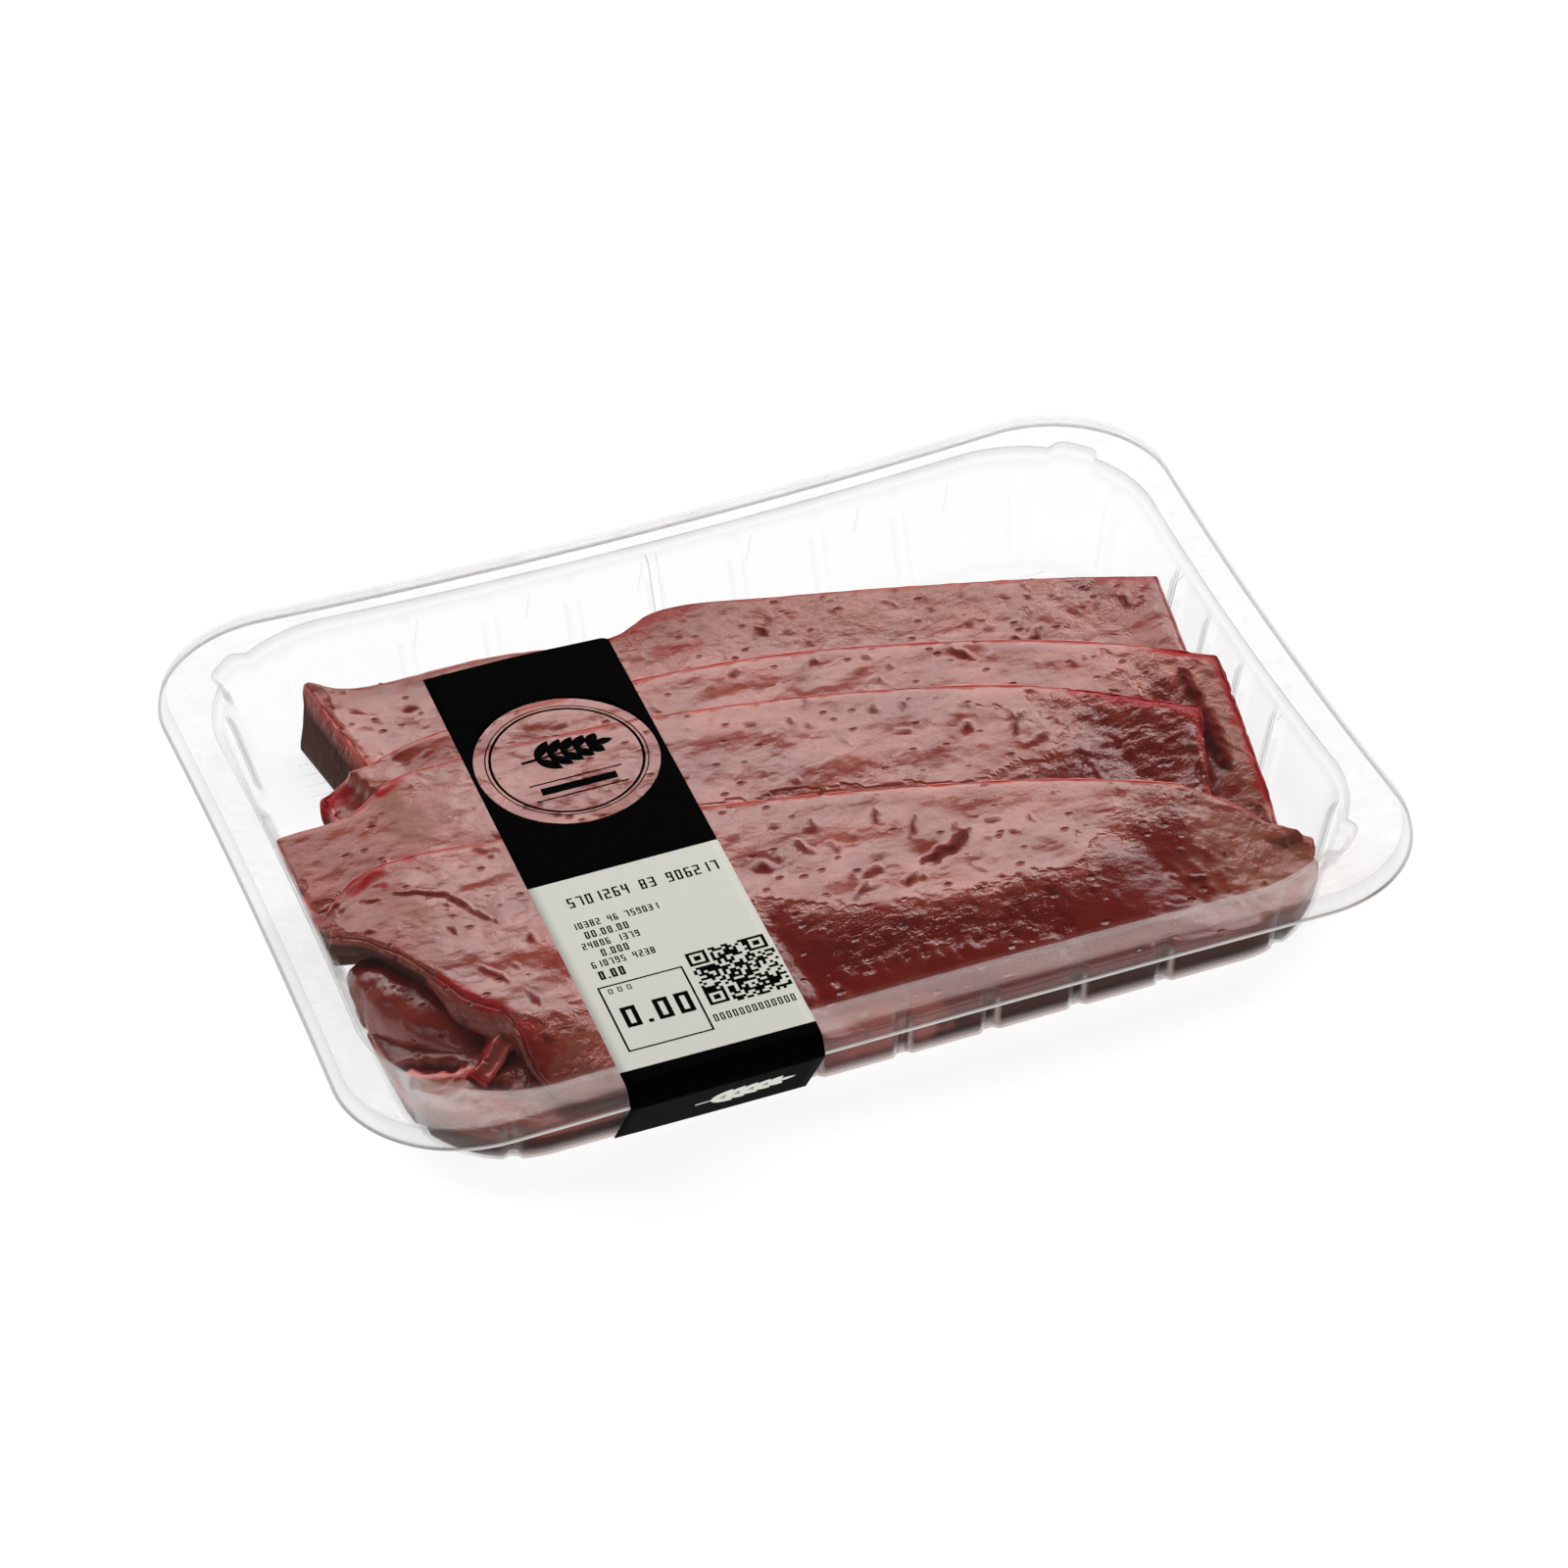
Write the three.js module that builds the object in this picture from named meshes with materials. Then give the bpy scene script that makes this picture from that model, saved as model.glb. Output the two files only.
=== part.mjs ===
// A sealed retail pack of sliced beef liver: a clear thermoformed tray with a rolled rim, fluted walls and
// corner lugs, a clear lidding film, a paper label band that wraps over the front rim, and the liver inside.
// Millimetres, +Z up, +X along the tray's long side, +Y to the back. The origin is under the tray's middle.
import * as THREE from 'three';

// ---- Tray: driving dimensions ----
const TRAY_LENGTH = 227;
const TRAY_WIDTH = 178;
const TRAY_DEPTH = 26; // underside of the base to the top of the flange
const SHEET = 0.6; // wall of the formed tray
const RIM_RADIUS = 27; // corner of the rim, in plan
const LIP_DROP = 4; // the rim turns down this far
const LIP_FLARE = 0.9;
const RIM_BEND = 0.8; // the rim turns from the flange into the lip over this height
const FLANGE = 8.3; // width of the sealing flange on the straight sides
const MOUTH_RADIUS = 31.5; // corner of the tray's mouth, in plan
const LEDGE_WIDTH = 1.7;
const LEDGE_DROP = 2.5;
const LEDGE_TOE = 0.5; // under the ledge the wall starts this far in, and the flutes with it
const FLUTE_TOP = 5; // below the flange
const WALL_LEAN = 6.2; // the walls lean in this far between mouth and base
const BASE_ROUND = 4;
const FLUTE_DEPTH = 1.8;
const FLUTE_WIDTH = 4.6;
const FLUTE_FLOOR = 2.2;
const LONG_PITCH = 18.85; // flutes on the long walls
const SHORT_PITCH = 17.5; // flutes on the short walls
const LONG_FLUTES = 7;
const SHORT_FLUTES = 4;
const CORNER_FLUTE_ANGLES = [20, 70];
const LUG_DEPTH = 3; // outward pocket in each corner, which keeps stacked trays apart
const LUG_HALF_ANGLE = 9.5;
const LUG_BOTTOM = 8.5; // below the flange
const LONG_BOW = 1.7; // the film's pull draws the rim in at the middle of each side, and down
const SHORT_BOW = 1;
const LONG_SAG = 1.2;
const SHORT_SAG = 0.9;
const MIDDLE_SAG = 0.35; // share of a side's sag that is left in the middle of the tray

// ---- Film and label ----
const GAP = 0.3; // between pieces that touch
const FILM_SHEET = 0.2;
const FILM_EDGE = 0.9; // the film is cut this far inside the rim
const LABEL_SHEET = 0.25;
const LABEL_WIDTH = 40.7;
const LABEL_CENTRE = -40.4;
const LABEL_SLANT = 0.0135; // the band lies slightly askew
const LABEL_BACK = 50.5; // where the band ends on the film
const LABEL_SKEW = 0.06; // its end is cut a little out of square
const LABEL_BEND = 1.2; // the band rounds the rim from this far inside it
const LABEL_TUCK = [54, 42]; // the flap's end follows the base's rounding, in degrees from straight down

// ---- Derived ----
const FLOOR = SHEET + 0.35; // what the liver lies on
const HALF_X = TRAY_LENGTH / 2;
const HALF_Y = TRAY_WIDTH / 2;
const MOUTH_X = HALF_X - FLANGE;
const MOUTH_Y = HALF_Y - FLANGE;
const RAD = Math.PI / 180;

// ---- Liver ----
const PILE_CELL = 1.5; // grid on which the height of the pile is kept
const THINNEST = 1.3; // a slice is at least this thick
const REST_REACH = 7; // a slice lies on all that is within this reach
const SWELL = 0.16; // a slice's side swells by this share of its thickness
const LARGEST_SWELL = 1.2;
const WALL_CLEARANCE = 0.4;
const WALL_BAND = 2; // within this distance of the wall the liver is squeezed together
const RIPPLE = { across: 9.5, deep: 4, crossAcross: 6, crossDeep: 5 }; // turns of the waves over a slice

function material(color, roughness, opacity = 1) {
  return new THREE.MeshStandardMaterial({
    color,
    roughness,
    metalness: 0,
    opacity,
    transparent: opacity < 1,
  });
}

function mesh(name, geometry, finish) {
  const part = new THREE.Mesh(geometry, finish);
  part.name = name;
  return part;
}

// Turns rows of points into one closed body. Each ring is closed on itself, and the first and last rings are
// closed by a fan to the given end points.
function closedTube(rings, startPoint, endPoint) {
  const count = rings[0].length;
  const points = [startPoint];
  for (const ring of rings) points.push(...ring);
  points.push(endPoint);
  const last = points.length - 1;
  const faces = [];
  for (let i = 0; i < count; i++) {
    const next = (i + 1) % count;
    faces.push([0, 1 + i, 1 + next]);
    for (let r = 0; r + 1 < rings.length; r++) {
      const near = 1 + r * count;
      const far = near + count;
      faces.push([near + i, far + i, far + next]);
      faces.push([near + i, far + next, near + next]);
    }
    const end = last - count;
    faces.push([last, end + next, end + i]);
  }
  return solid(points, faces);
}

// A geometry from points and triangles, turned the right way round by its signed volume.
function solid(points, faces) {
  let volume = 0;
  for (const [a, b, c] of faces) {
    volume += points[a].dot(new THREE.Vector3().crossVectors(points[b], points[c]));
  }
  const index = volume > 0 ? faces.flat() : faces.flatMap(([a, b, c]) => [a, c, b]);
  const geometry = new THREE.BufferGeometry().setFromPoints(points);
  geometry.setIndex(index);
  geometry.computeVertexNormals();
  return geometry;
}

// ---- The tray's outline ----
// Stations run once round the tray. A side station lies at a distance along its side, and a corner station at
// an angle. Each says how much of a flute or a lug it carries.
function sideStations(side, count, pitch) {
  const stations = [];
  for (let k = 0; k < count; k++) {
    const middle = (k - (count - 1) / 2) * pitch;
    const reach = [-FLUTE_WIDTH / 2, -FLUTE_FLOOR / 2, FLUTE_FLOOR / 2, FLUTE_WIDTH / 2];
    reach.forEach((r, j) => {
      stations.push({ side, at: middle + r, flute: j === 1 || j === 2 ? 1 : 0, lug: 0 });
    });
  }
  return stations;
}

function cornerStations(corner) {
  const marks = [];
  for (const angle of [0, 8, 30, 60, 82, 90]) marks.push({ angle, flute: 0, lug: 0 });
  for (const middle of CORNER_FLUTE_ANGLES) {
    for (const [turn, flute] of [[-4.5, 0], [-1.8, 1], [1.8, 1], [4.5, 0]]) {
      marks.push({ angle: middle + turn, flute, lug: 0 });
    }
  }
  marks.push({ angle: 45 - LUG_HALF_ANGLE, flute: 0, lug: 0 });
  marks.push({ angle: 45 - LUG_HALF_ANGLE + 2.5, flute: 0, lug: 1 });
  marks.push({ angle: 45, flute: 0, lug: 1.06 });
  marks.push({ angle: 45 + LUG_HALF_ANGLE - 2.5, flute: 0, lug: 1 });
  marks.push({ angle: 45 + LUG_HALF_ANGLE, flute: 0, lug: 0 });
  marks.sort((a, b) => a.angle - b.angle);
  return marks.map((m) => ({ corner, ...m }));
}

// Counter-clockwise from the front. Each side is followed by the corner that leads to the next one.
const SIDES = [
  { along: [1, 0], out: [0, -1], long: true },
  { along: [0, 1], out: [1, 0], long: false },
  { along: [-1, 0], out: [0, 1], long: true },
  { along: [0, -1], out: [-1, 0], long: false },
];

function trayStations() {
  const stations = [];
  SIDES.forEach((side, i) => {
    const next = SIDES[(i + 1) % 4];
    const count = side.long ? LONG_FLUTES : SHORT_FLUTES;
    stations.push(...sideStations(side, count, side.long ? LONG_PITCH : SHORT_PITCH));
    stations.push(...cornerStations({ from: side.out, to: next.out }));
  });
  return stations;
}

function plainStations(perSide, perCorner) {
  const stations = [];
  SIDES.forEach((side, i) => {
    const next = SIDES[(i + 1) % 4];
    const half = side.long ? MOUTH_X - MOUTH_RADIUS : MOUTH_Y - MOUTH_RADIUS;
    for (let k = 0; k < perSide; k++) {
      const at = half * ((2 * (k + 0.5)) / perSide - 1);
      stations.push({ side, at, flute: 0, lug: 0 });
    }
    for (let k = 0; k <= perCorner; k++) {
      const angle = (90 * k) / perCorner;
      stations.push({ corner: { from: side.out, to: next.out }, angle, flute: 0, lug: 0 });
    }
  });
  return stations;
}

// The point of a station on an outline: a rounded rectangle, whose sides the film's pull draws in.
function outlinePoint(station, halfX, halfY, radius, pull, outward) {
  if (station.side) {
    const { along, out, long } = station.side;
    const across = (long ? halfY : halfX) + outward;
    const half = (long ? halfX : halfY) - radius;
    const slack = Math.max(0, 1 - (station.at / half) ** 2);
    const reach = across - pull * slack * (long ? LONG_BOW : SHORT_BOW);
    return {
      x: along[0] * station.at + out[0] * reach,
      y: along[1] * station.at + out[1] * reach,
    };
  }
  const { from, to } = station.corner;
  const c = Math.cos(station.angle * RAD);
  const s = Math.sin(station.angle * RAD);
  const reach = radius + outward;
  const signX = from[0] + to[0];
  const signY = from[1] + to[1];
  return {
    x: signX * (halfX - radius) + reach * (from[0] * c + to[0] * s),
    y: signY * (halfY - radius) + reach * (from[1] * c + to[1] * s),
  };
}

// How far the rim and the taut film lie below the flat plane through the rim's corners.
function sag(x, y) {
  const u = Math.min(1, (x / (HALF_X - RIM_RADIUS)) ** 2);
  const v = Math.min(1, (y / (HALF_Y - RIM_RADIUS)) ** 2);
  const acrossX = Math.min(1, (x / HALF_X) ** 2);
  const acrossY = Math.min(1, (y / HALF_Y) ** 2);
  const longSide = LONG_SAG * (1 - u) * (MIDDLE_SAG + (1 - MIDDLE_SAG) * acrossY);
  return longSide + SHORT_SAG * (1 - v) * (MIDDLE_SAG + (1 - MIDDLE_SAG) * acrossX);
}

// One ring of the tray. inward is measured from the rim: up to the flange's inner edge the rim's outline
// counts, and past it the mouth's.
function trayRing(stations, { inward, z, pull, flute, lug }) {
  return stations.map((station) => {
    const onRim = inward < FLANGE / 2;
    const e = onRim ? inward : inward - FLANGE;
    const outward = LUG_DEPTH * station.lug * lug - FLUTE_DEPTH * station.flute * flute;
    const p = onRim
      ? outlinePoint(station, HALF_X - e, HALF_Y - e, RIM_RADIUS - e, pull, outward)
      : outlinePoint(station, MOUTH_X - e, MOUTH_Y - e, MOUTH_RADIUS - e, pull, outward);
    return new THREE.Vector3(p.x, p.y, z - sag(p.x, p.y) * pull);
  });
}

// The formed sheet in section, as its upper and inner face: lip, rim, flange, ledge, wall, rounding, floor.
function trayProfile() {
  const top = TRAY_DEPTH;
  const wallFoot = FLANGE + WALL_LEAN;
  const level = (inward, z, pull, flute, lug) => ({ inward, z, pull, flute, lug });
  const profile = [
    level(-LIP_FLARE, top - LIP_DROP, 1, 0, 0),
    level(-0.1, top - RIM_BEND, 1, 0, 0),
    level(RIM_BEND - 0.1, top, 1, 0, 0),
    level(FLANGE, top, 1, 0, 1),
    level(FLANGE + 0.6 * LEDGE_WIDTH, top - 0.8 * LEDGE_DROP, 0.8, 0, 1),
    level(FLANGE + LEDGE_WIDTH, top - LEDGE_DROP, 0.6, 0, 1),
    level(FLANGE + LEDGE_WIDTH + LEDGE_TOE, top - FLUTE_TOP, 0.4, 1, 1),
    level(FLANGE + LEDGE_WIDTH + LEDGE_TOE + 0.9, top - LUG_BOTTOM, 0.2, 1, 0),
  ];
  for (let k = 0; k <= 2; k++) {
    const turn = (k * Math.PI) / 4;
    const inward = wallFoot + (BASE_ROUND - SHEET) * (1 - Math.cos(turn));
    const z = BASE_ROUND - (BASE_ROUND - SHEET) * Math.sin(turn);
    profile.push(level(inward, z, 0, 1 - k / 2.5, 0));
  }
  return profile;
}

// The lower and outer face, one sheet away from the upper one.
function offsetProfile(profile, distance) {
  const normal = (a, b) => {
    const length = Math.hypot(b.inward - a.inward, b.z - a.z);
    return [(b.z - a.z) / length, -(b.inward - a.inward) / length];
  };
  return profile.map((level, i) => {
    const before = i > 0 ? normal(profile[i - 1], level) : normal(level, profile[i + 1]);
    const after = i + 1 < profile.length ? normal(level, profile[i + 1]) : [0, -1];
    const spread = 1 + before[0] * after[0] + before[1] * after[1];
    const step = distance / spread;
    return {
      ...level,
      inward: level.inward + step * (before[0] + after[0]),
      z: level.z + step * (before[1] + after[1]),
    };
  });
}

function makeTray() {
  const stations = trayStations();
  const upper = trayProfile();
  const lower = offsetProfile(upper, SHEET);
  lower[0].z = upper[0].z;
  lower.at(-1).z = 0;
  const rings = [...upper].reverse().map((level) => trayRing(stations, level));
  rings.push(...lower.map((level) => trayRing(stations, level)));
  const floor = new THREE.Vector3(0, 0, upper.at(-1).z);
  return closedTube(rings, floor, new THREE.Vector3(0, 0, 0));
}

// ---- Film ----
function filmRing(stations, { inward, scale = 1 }, lift) {
  const flat = trayRing(stations, { inward, z: 0, pull: 1, flute: 0, lug: 0 });
  return flat.map((p) => {
    const x = p.x * scale;
    const y = p.y * scale;
    return new THREE.Vector3(x, y, TRAY_DEPTH - sag(x, y) + lift);
  });
}

function makeFilm() {
  const stations = plainStations(5, 5);
  const levels = [
    { inward: FLANGE, scale: 0.35 },
    { inward: FLANGE, scale: 0.7 },
    { inward: FLANGE },
    { inward: FILM_EDGE },
  ];
  const upper = levels.map((level) => filmRing(stations, level, GAP + FILM_SHEET));
  const lower = levels.map((level) => filmRing(stations, level, GAP)).reverse();
  const middle = TRAY_DEPTH - sag(0, 0) + GAP;
  const above = new THREE.Vector3(0, 0, middle + FILM_SHEET);
  return closedTube([...upper, ...lower], above, new THREE.Vector3(0, 0, middle));
}

// ---- Label ----
// The band in section at one x, from its back end over the film, round the rim and down to the base's edge.
function labelPath(x, back) {
  const slack = Math.max(0, 1 - (x / (HALF_X - RIM_RADIUS)) ** 2);
  const rim = -(HALF_Y - LONG_BOW * slack);
  const rimSag = sag(x, rim);
  const lift = GAP + FILM_SHEET + GAP;
  const flangeEdge = rim + FLANGE;
  const path = [];
  for (let k = 0; k <= 9; k++) {
    const y = back + ((flangeEdge - back) * k) / 9;
    path.push([y, TRAY_DEPTH - sag(x, y) + lift]);
  }
  path.push([rim + LABEL_BEND, TRAY_DEPTH - rimSag + lift]);
  path.push([rim, TRAY_DEPTH - rimSag + GAP]);
  path.push([rim - LABEL_BEND / 2, TRAY_DEPTH - rimSag - 0.7]);
  path.push([rim - LIP_FLARE - 0.7, TRAY_DEPTH - LIP_DROP - rimSag]);
  const roundY = -(MOUTH_Y - WALL_LEAN + SHEET - BASE_ROUND);
  const reach = BASE_ROUND + GAP + 0.1;
  for (const tilt of LABEL_TUCK) {
    path.push([roundY - reach * Math.sin(tilt * RAD), BASE_ROUND - reach * Math.cos(tilt * RAD)]);
  }
  return path;
}

function makeLabel() {
  const columns = 5;
  const faces = [];
  const points = [];
  const rows = labelPath(LABEL_CENTRE, LABEL_BACK).length;
  for (const raised of [0, LABEL_SHEET]) {
    for (let c = 0; c <= columns; c++) {
      const off = LABEL_WIDTH * (c / columns - 0.5);
      const path = labelPath(LABEL_CENTRE + off, LABEL_BACK - LABEL_SKEW * off);
      path.forEach(([y, z], r) => {
        const before = path[Math.max(0, r - 1)];
        const after = path[Math.min(rows - 1, r + 1)];
        const length = Math.hypot(after[0] - before[0], after[1] - before[1]);
        const outY = ((after[1] - before[1]) / length) * raised;
        const outZ = (-(after[0] - before[0]) / length) * raised;
        points.push(new THREE.Vector3(LABEL_CENTRE + off + LABEL_SLANT * y, y + outY, z + outZ));
      });
    }
  }
  const id = (face, c, r) => face * (columns + 1) * rows + c * rows + r;
  const quad = (a, b, c, d) => faces.push([a, b, c], [a, c, d]);
  for (let c = 0; c < columns; c++) {
    for (let r = 0; r + 1 < rows; r++) {
      quad(id(1, c, r), id(1, c + 1, r), id(1, c + 1, r + 1), id(1, c, r + 1));
      quad(id(0, c, r), id(0, c, r + 1), id(0, c + 1, r + 1), id(0, c + 1, r));
    }
    quad(id(0, c, 0), id(0, c + 1, 0), id(1, c + 1, 0), id(1, c, 0));
    quad(id(0, c, rows - 1), id(1, c, rows - 1), id(1, c + 1, rows - 1), id(0, c + 1, rows - 1));
  }
  for (let r = 0; r + 1 < rows; r++) {
    quad(id(0, 0, r), id(1, 0, r), id(1, 0, r + 1), id(0, 0, r + 1));
    quad(id(0, columns, r), id(0, columns, r + 1), id(1, columns, r + 1), id(1, columns, r));
  }
  return solid(points, faces);
}

// ---- Liver ----
// Keeps a point of the liver clear of the tray's inner wall and its flutes at that height. Points near the
// wall are squeezed together, so that no two of them meet.
function insideTray(p) {
  const wallTop = TRAY_DEPTH - LEDGE_DROP;
  const rise = THREE.MathUtils.clamp((wallTop - p.z) / (wallTop - BASE_ROUND), 0, 1);
  const rounding = BASE_ROUND - SHEET;
  const below = Math.min(rounding, Math.max(0, BASE_ROUND - p.z));
  const foot = rounding - Math.sqrt(rounding ** 2 - below ** 2);
  const inset = LEDGE_WIDTH + (WALL_LEAN - LEDGE_WIDTH) * rise + foot + FLUTE_DEPTH + WALL_CLEARANCE;
  const limit = MOUTH_RADIUS - inset;
  const cornerX = MOUTH_X - MOUTH_RADIUS;
  const cornerY = MOUTH_Y - MOUTH_RADIUS;
  const dx = Math.max(0, Math.abs(p.x) - cornerX);
  const dy = Math.max(0, Math.abs(p.y) - cornerY);
  const distance = Math.hypot(dx, dy);
  if (distance > limit - WALL_BAND) {
    const squeezed = limit - WALL_BAND * Math.exp((limit - WALL_BAND - distance) / WALL_BAND);
    p.x = Math.sign(p.x) * (Math.min(Math.abs(p.x), cornerX) + (dx * squeezed) / distance);
    p.y = Math.sign(p.y) * (Math.min(Math.abs(p.y), cornerY) + (dy * squeezed) / distance);
  }
  return p;
}

// The height of what already lies in the tray, on a square grid, so that a slice can be laid on the others.
class Pile {
  constructor() {
    this.heights = new Map();
  }

  // Raises the pile to the upper side of a piece.
  add(points, faces) {
    const a = new THREE.Vector3();
    for (const face of faces) {
      const [p, q, r] = face.map((i) => points[i]);
      const longest = Math.max(p.distanceTo(q), q.distanceTo(r), r.distanceTo(p));
      const steps = Math.ceil((2 * longest) / PILE_CELL);
      for (let i = 0; i <= steps; i++) {
        for (let j = 0; i + j <= steps; j++) {
          a.copy(p).multiplyScalar((steps - i - j) / steps);
          a.addScaledVector(q, i / steps).addScaledVector(r, j / steps);
          const key = this.key(a.x, a.y);
          this.heights.set(key, Math.max(this.heights.get(key) ?? 0, a.z));
        }
      }
    }
  }

  key(x, y) {
    return `${Math.round(x / PILE_CELL)},${Math.round(y / PILE_CELL)}`;
  }

  // The highest point within reach of a place.
  over(x, y, reach) {
    const n = Math.ceil(reach / PILE_CELL);
    let top = 0;
    for (let i = -n; i <= n; i++) {
      for (let j = -n; j <= n; j++) {
        if (i * i + j * j > n * n) continue;
        const key = this.key(x + i * PILE_CELL, y + j * PILE_CELL);
        top = Math.max(top, this.heights.get(key) ?? 0);
      }
    }
    return top;
  }
}

const curve = (points) => new THREE.CatmullRomCurve3(points.map((p) => new THREE.Vector3(...p)));

// A slice is a slab over a patch between its back and front edges, each a curve from left to right whose
// heights are those of the upper side. fall says how late the upper side drops from the back to the front,
// crown how far it swells between them, and flare how far a cut end stands out at its foot.
function makeSlice(pile, {
  back, front, fall, crown, wave = 0, flare = [0, 0], rest = REST_REACH, across = 25, deep = 7,
}) {
  const backCurve = curve(back);
  const frontCurve = curve(front);
  const upper = [];
  const lower = [];
  for (let i = 0; i <= across; i++) {
    const s = i / across;
    const b = backCurve.getPoint(s);
    const f = frontCurve.getPoint(s);
    for (let j = 0; j <= deep; j++) {
      const t = j / deep;
      const p = new THREE.Vector3().lerpVectors(b, f, t);
      const ripple = Math.sin(RIPPLE.across * s + RIPPLE.deep * t);
      const relief = wave * ripple * Math.cos(RIPPLE.crossAcross * s - RIPPLE.crossDeep * t);
      const middle = Math.sin(Math.PI * t) * Math.sqrt(Math.sin(Math.PI * s));
      p.z = b.z + (f.z - b.z) * t ** fall + (crown + relief) * middle;
      const bed = Math.max(FLOOR, pile.over(p.x, p.y, rest) + GAP);
      p.z = Math.max(p.z, bed + THINNEST);
      insideTray(p);
      upper.push(p);
      const q = p.clone();
      q.x += flare[0] * Math.max(0, 1 - s * across) + flare[1] * Math.max(0, 1 - (1 - s) * across);
      q.z = bed;
      lower.push(insideTray(q));
    }
  }
  return slab(upper, lower, across, deep, pile);
}

// Joins an upper and a lower grid by a band that swells at half height, and lays the piece on the pile.
function slab(upper, lower, across, deep, pile) {
  const width = deep + 1;
  const at = (i, j) => i * width + j;
  const points = [...upper, ...lower];
  const size = upper.length;
  const faces = [];
  const top = [];
  for (let i = 0; i < across; i++) {
    for (let j = 0; j < deep; j++) {
      const [a, b, c, d] = [at(i, j), at(i + 1, j), at(i + 1, j + 1), at(i, j + 1)];
      top.push([a, c, b], [a, d, c]);
      faces.push([a + size, b + size, c + size], [a + size, c + size, d + size]);
    }
  }
  faces.push(...top);
  const border = [];
  for (let i = 0; i < across; i++) border.push(at(i, 0));
  for (let j = 0; j < deep; j++) border.push(at(across, j));
  for (let i = across; i > 0; i--) border.push(at(i, deep));
  for (let j = deep; j > 0; j--) border.push(at(0, j));
  const waist = points.length;
  border.forEach((id, k) => {
    const before = points[border[(k + border.length - 1) % border.length]];
    const after = points[border[(k + 1) % border.length]];
    const out = new THREE.Vector3(-(after.y - before.y), after.x - before.x, 0).normalize();
    const middle = new THREE.Vector3().addVectors(points[id], points[id + size]).multiplyScalar(0.5);
    const swell = Math.min(LARGEST_SWELL, SWELL * (points[id].z - points[id + size].z));
    points.push(insideTray(middle.addScaledVector(out, swell)));
  });
  border.forEach((id, k) => {
    const next = (k + 1) % border.length;
    const nextId = border[next];
    faces.push([id, nextId, waist + next], [id, waist + next, waist + k]);
    faces.push([waist + k, waist + next, nextId + size], [waist + k, nextId + size, id + size]);
  });
  pile.add(points, [...top, ...faces.slice(-4 * border.length)]);
  return solid(points, faces);
}

// The rolled end of a slice: a bent, tapering roll with blunt ends.
function makeRoll(pile, spine, radii) {
  const path = curve(spine);
  const steps = 12;
  const sides = 12;
  const blunt = 0.12; // share of the radius that is left at the ends
  const rings = [];
  for (let i = 1; i < steps; i++) {
    const s = i / steps;
    const centre = path.getPoint(s);
    const along = path.getTangent(s);
    const side = new THREE.Vector3(along.y, -along.x, 0).normalize();
    const up = new THREE.Vector3().crossVectors(side, along);
    const span = s * (radii.length - 1);
    const k = Math.min(radii.length - 2, Math.floor(span));
    const round = Math.min(1, Math.sqrt(1 - (2 * s - 1) ** 8) + blunt);
    const radius = THREE.MathUtils.lerp(radii[k], radii[k + 1], span - k) * round;
    const ring = [];
    for (let j = 0; j < sides; j++) {
      const turn = (2 * Math.PI * j) / sides;
      const p = centre.clone().addScaledVector(side, radius * Math.cos(turn));
      p.addScaledVector(up, radius * Math.sin(turn));
      p.z = Math.max(FLOOR, p.z);
      ring.push(insideTray(p));
    }
    rings.push(ring);
  }
  const start = insideTray(path.getPoint(0));
  const end = insideTray(path.getPoint(1));
  const geometry = closedTube(rings, start, end);
  const position = geometry.getAttribute('position');
  const points = [];
  for (let i = 0; i < position.count; i++) points.push(new THREE.Vector3().fromBufferAttribute(position, i));
  const faces = [];
  const index = geometry.getIndex().array;
  for (let i = 0; i < index.length; i += 3) faces.push([index[i], index[i + 1], index[i + 2]]);
  pile.add(points, faces);
  return geometry;
}

// ---- The pack ----
const clearPlastic = material(0xeef1f2, 0.08, 0.3);
const clearFilm = material(0xf6f8f8, 0.05, 0.2);
const printedPaper = material(0x111110, 0.55);
const liverMeat = material(0x7a3a35, 0.3);
const darkMeat = material(0x5c1c1b, 0.3);

const group = new THREE.Group();
group.add(mesh('tray', makeTray(), clearPlastic));
group.add(mesh('film', makeFilm(), clearFilm));
group.add(mesh('label', makeLabel(), printedPaper));

// The liver is laid in from the bottom up, and each piece rests on those before it.
const pile = new Pile();

group.add(mesh('liver_fold', makeSlice(pile, {
  back: [[-96, -43, 8], [-88, -45, 11], [-76, -47, 12], [-60, -50, 11], [-40, -54, 8]],
  front: [[-95, -57, 8], [-86, -68, 11], [-72, -76, 12], [-52, -78, 12], [-30, -78, 9]],
  fall: 1,
  crown: 1.4,
  rest: 8,
  across: 14,
  deep: 4,
}), darkMeat));

group.add(mesh('liver_roll', makeRoll(
  pile,
  [[-98, -17, 7], [-95, -26, 8.6], [-90, -35, 8.4], [-85, -43, 7]],
  [5.4, 6.8, 6.6, 4.6],
), darkMeat));

group.add(mesh('liver_slice_1', makeSlice(pile, {
  back: [[-79, 75, 14.5], [-72, 71, 13], [-40, 70, 12.2], [-14, 66, 12], [-1, 70, 13], [25, 65, 12.3],
    [63, 53, 12.8], [84, 45, 13.8], [99, 34, 17]],
  front: [[-74, 38, 9], [-40, 32, 9], [0, 28, 9], [40, 17, 9], [98, -6, 10]],
  fall: 2,
  crown: 1.2,
  wave: 0.9,
  flare: [-4.5, 0],
  rest: 8,
}), liverMeat));

group.add(mesh('liver_slice_2', makeSlice(pile, {
  back: [[-85, 43, 7], [-79, 44, 12], [-65, 44, 16], [-39, 44.5, 17], [-8, 43.5, 17], [21, 39, 17],
    [63, 25, 17], [85, 14.5, 16.5], [101, 3, 17]],
  front: [[-82, 12, 8], [-40, 4, 9], [0, -3, 9], [40, -14, 9], [92, -44, 10]],
  fall: 1.8,
  crown: 0.8,
  wave: 0.7,
}), liverMeat));

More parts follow.
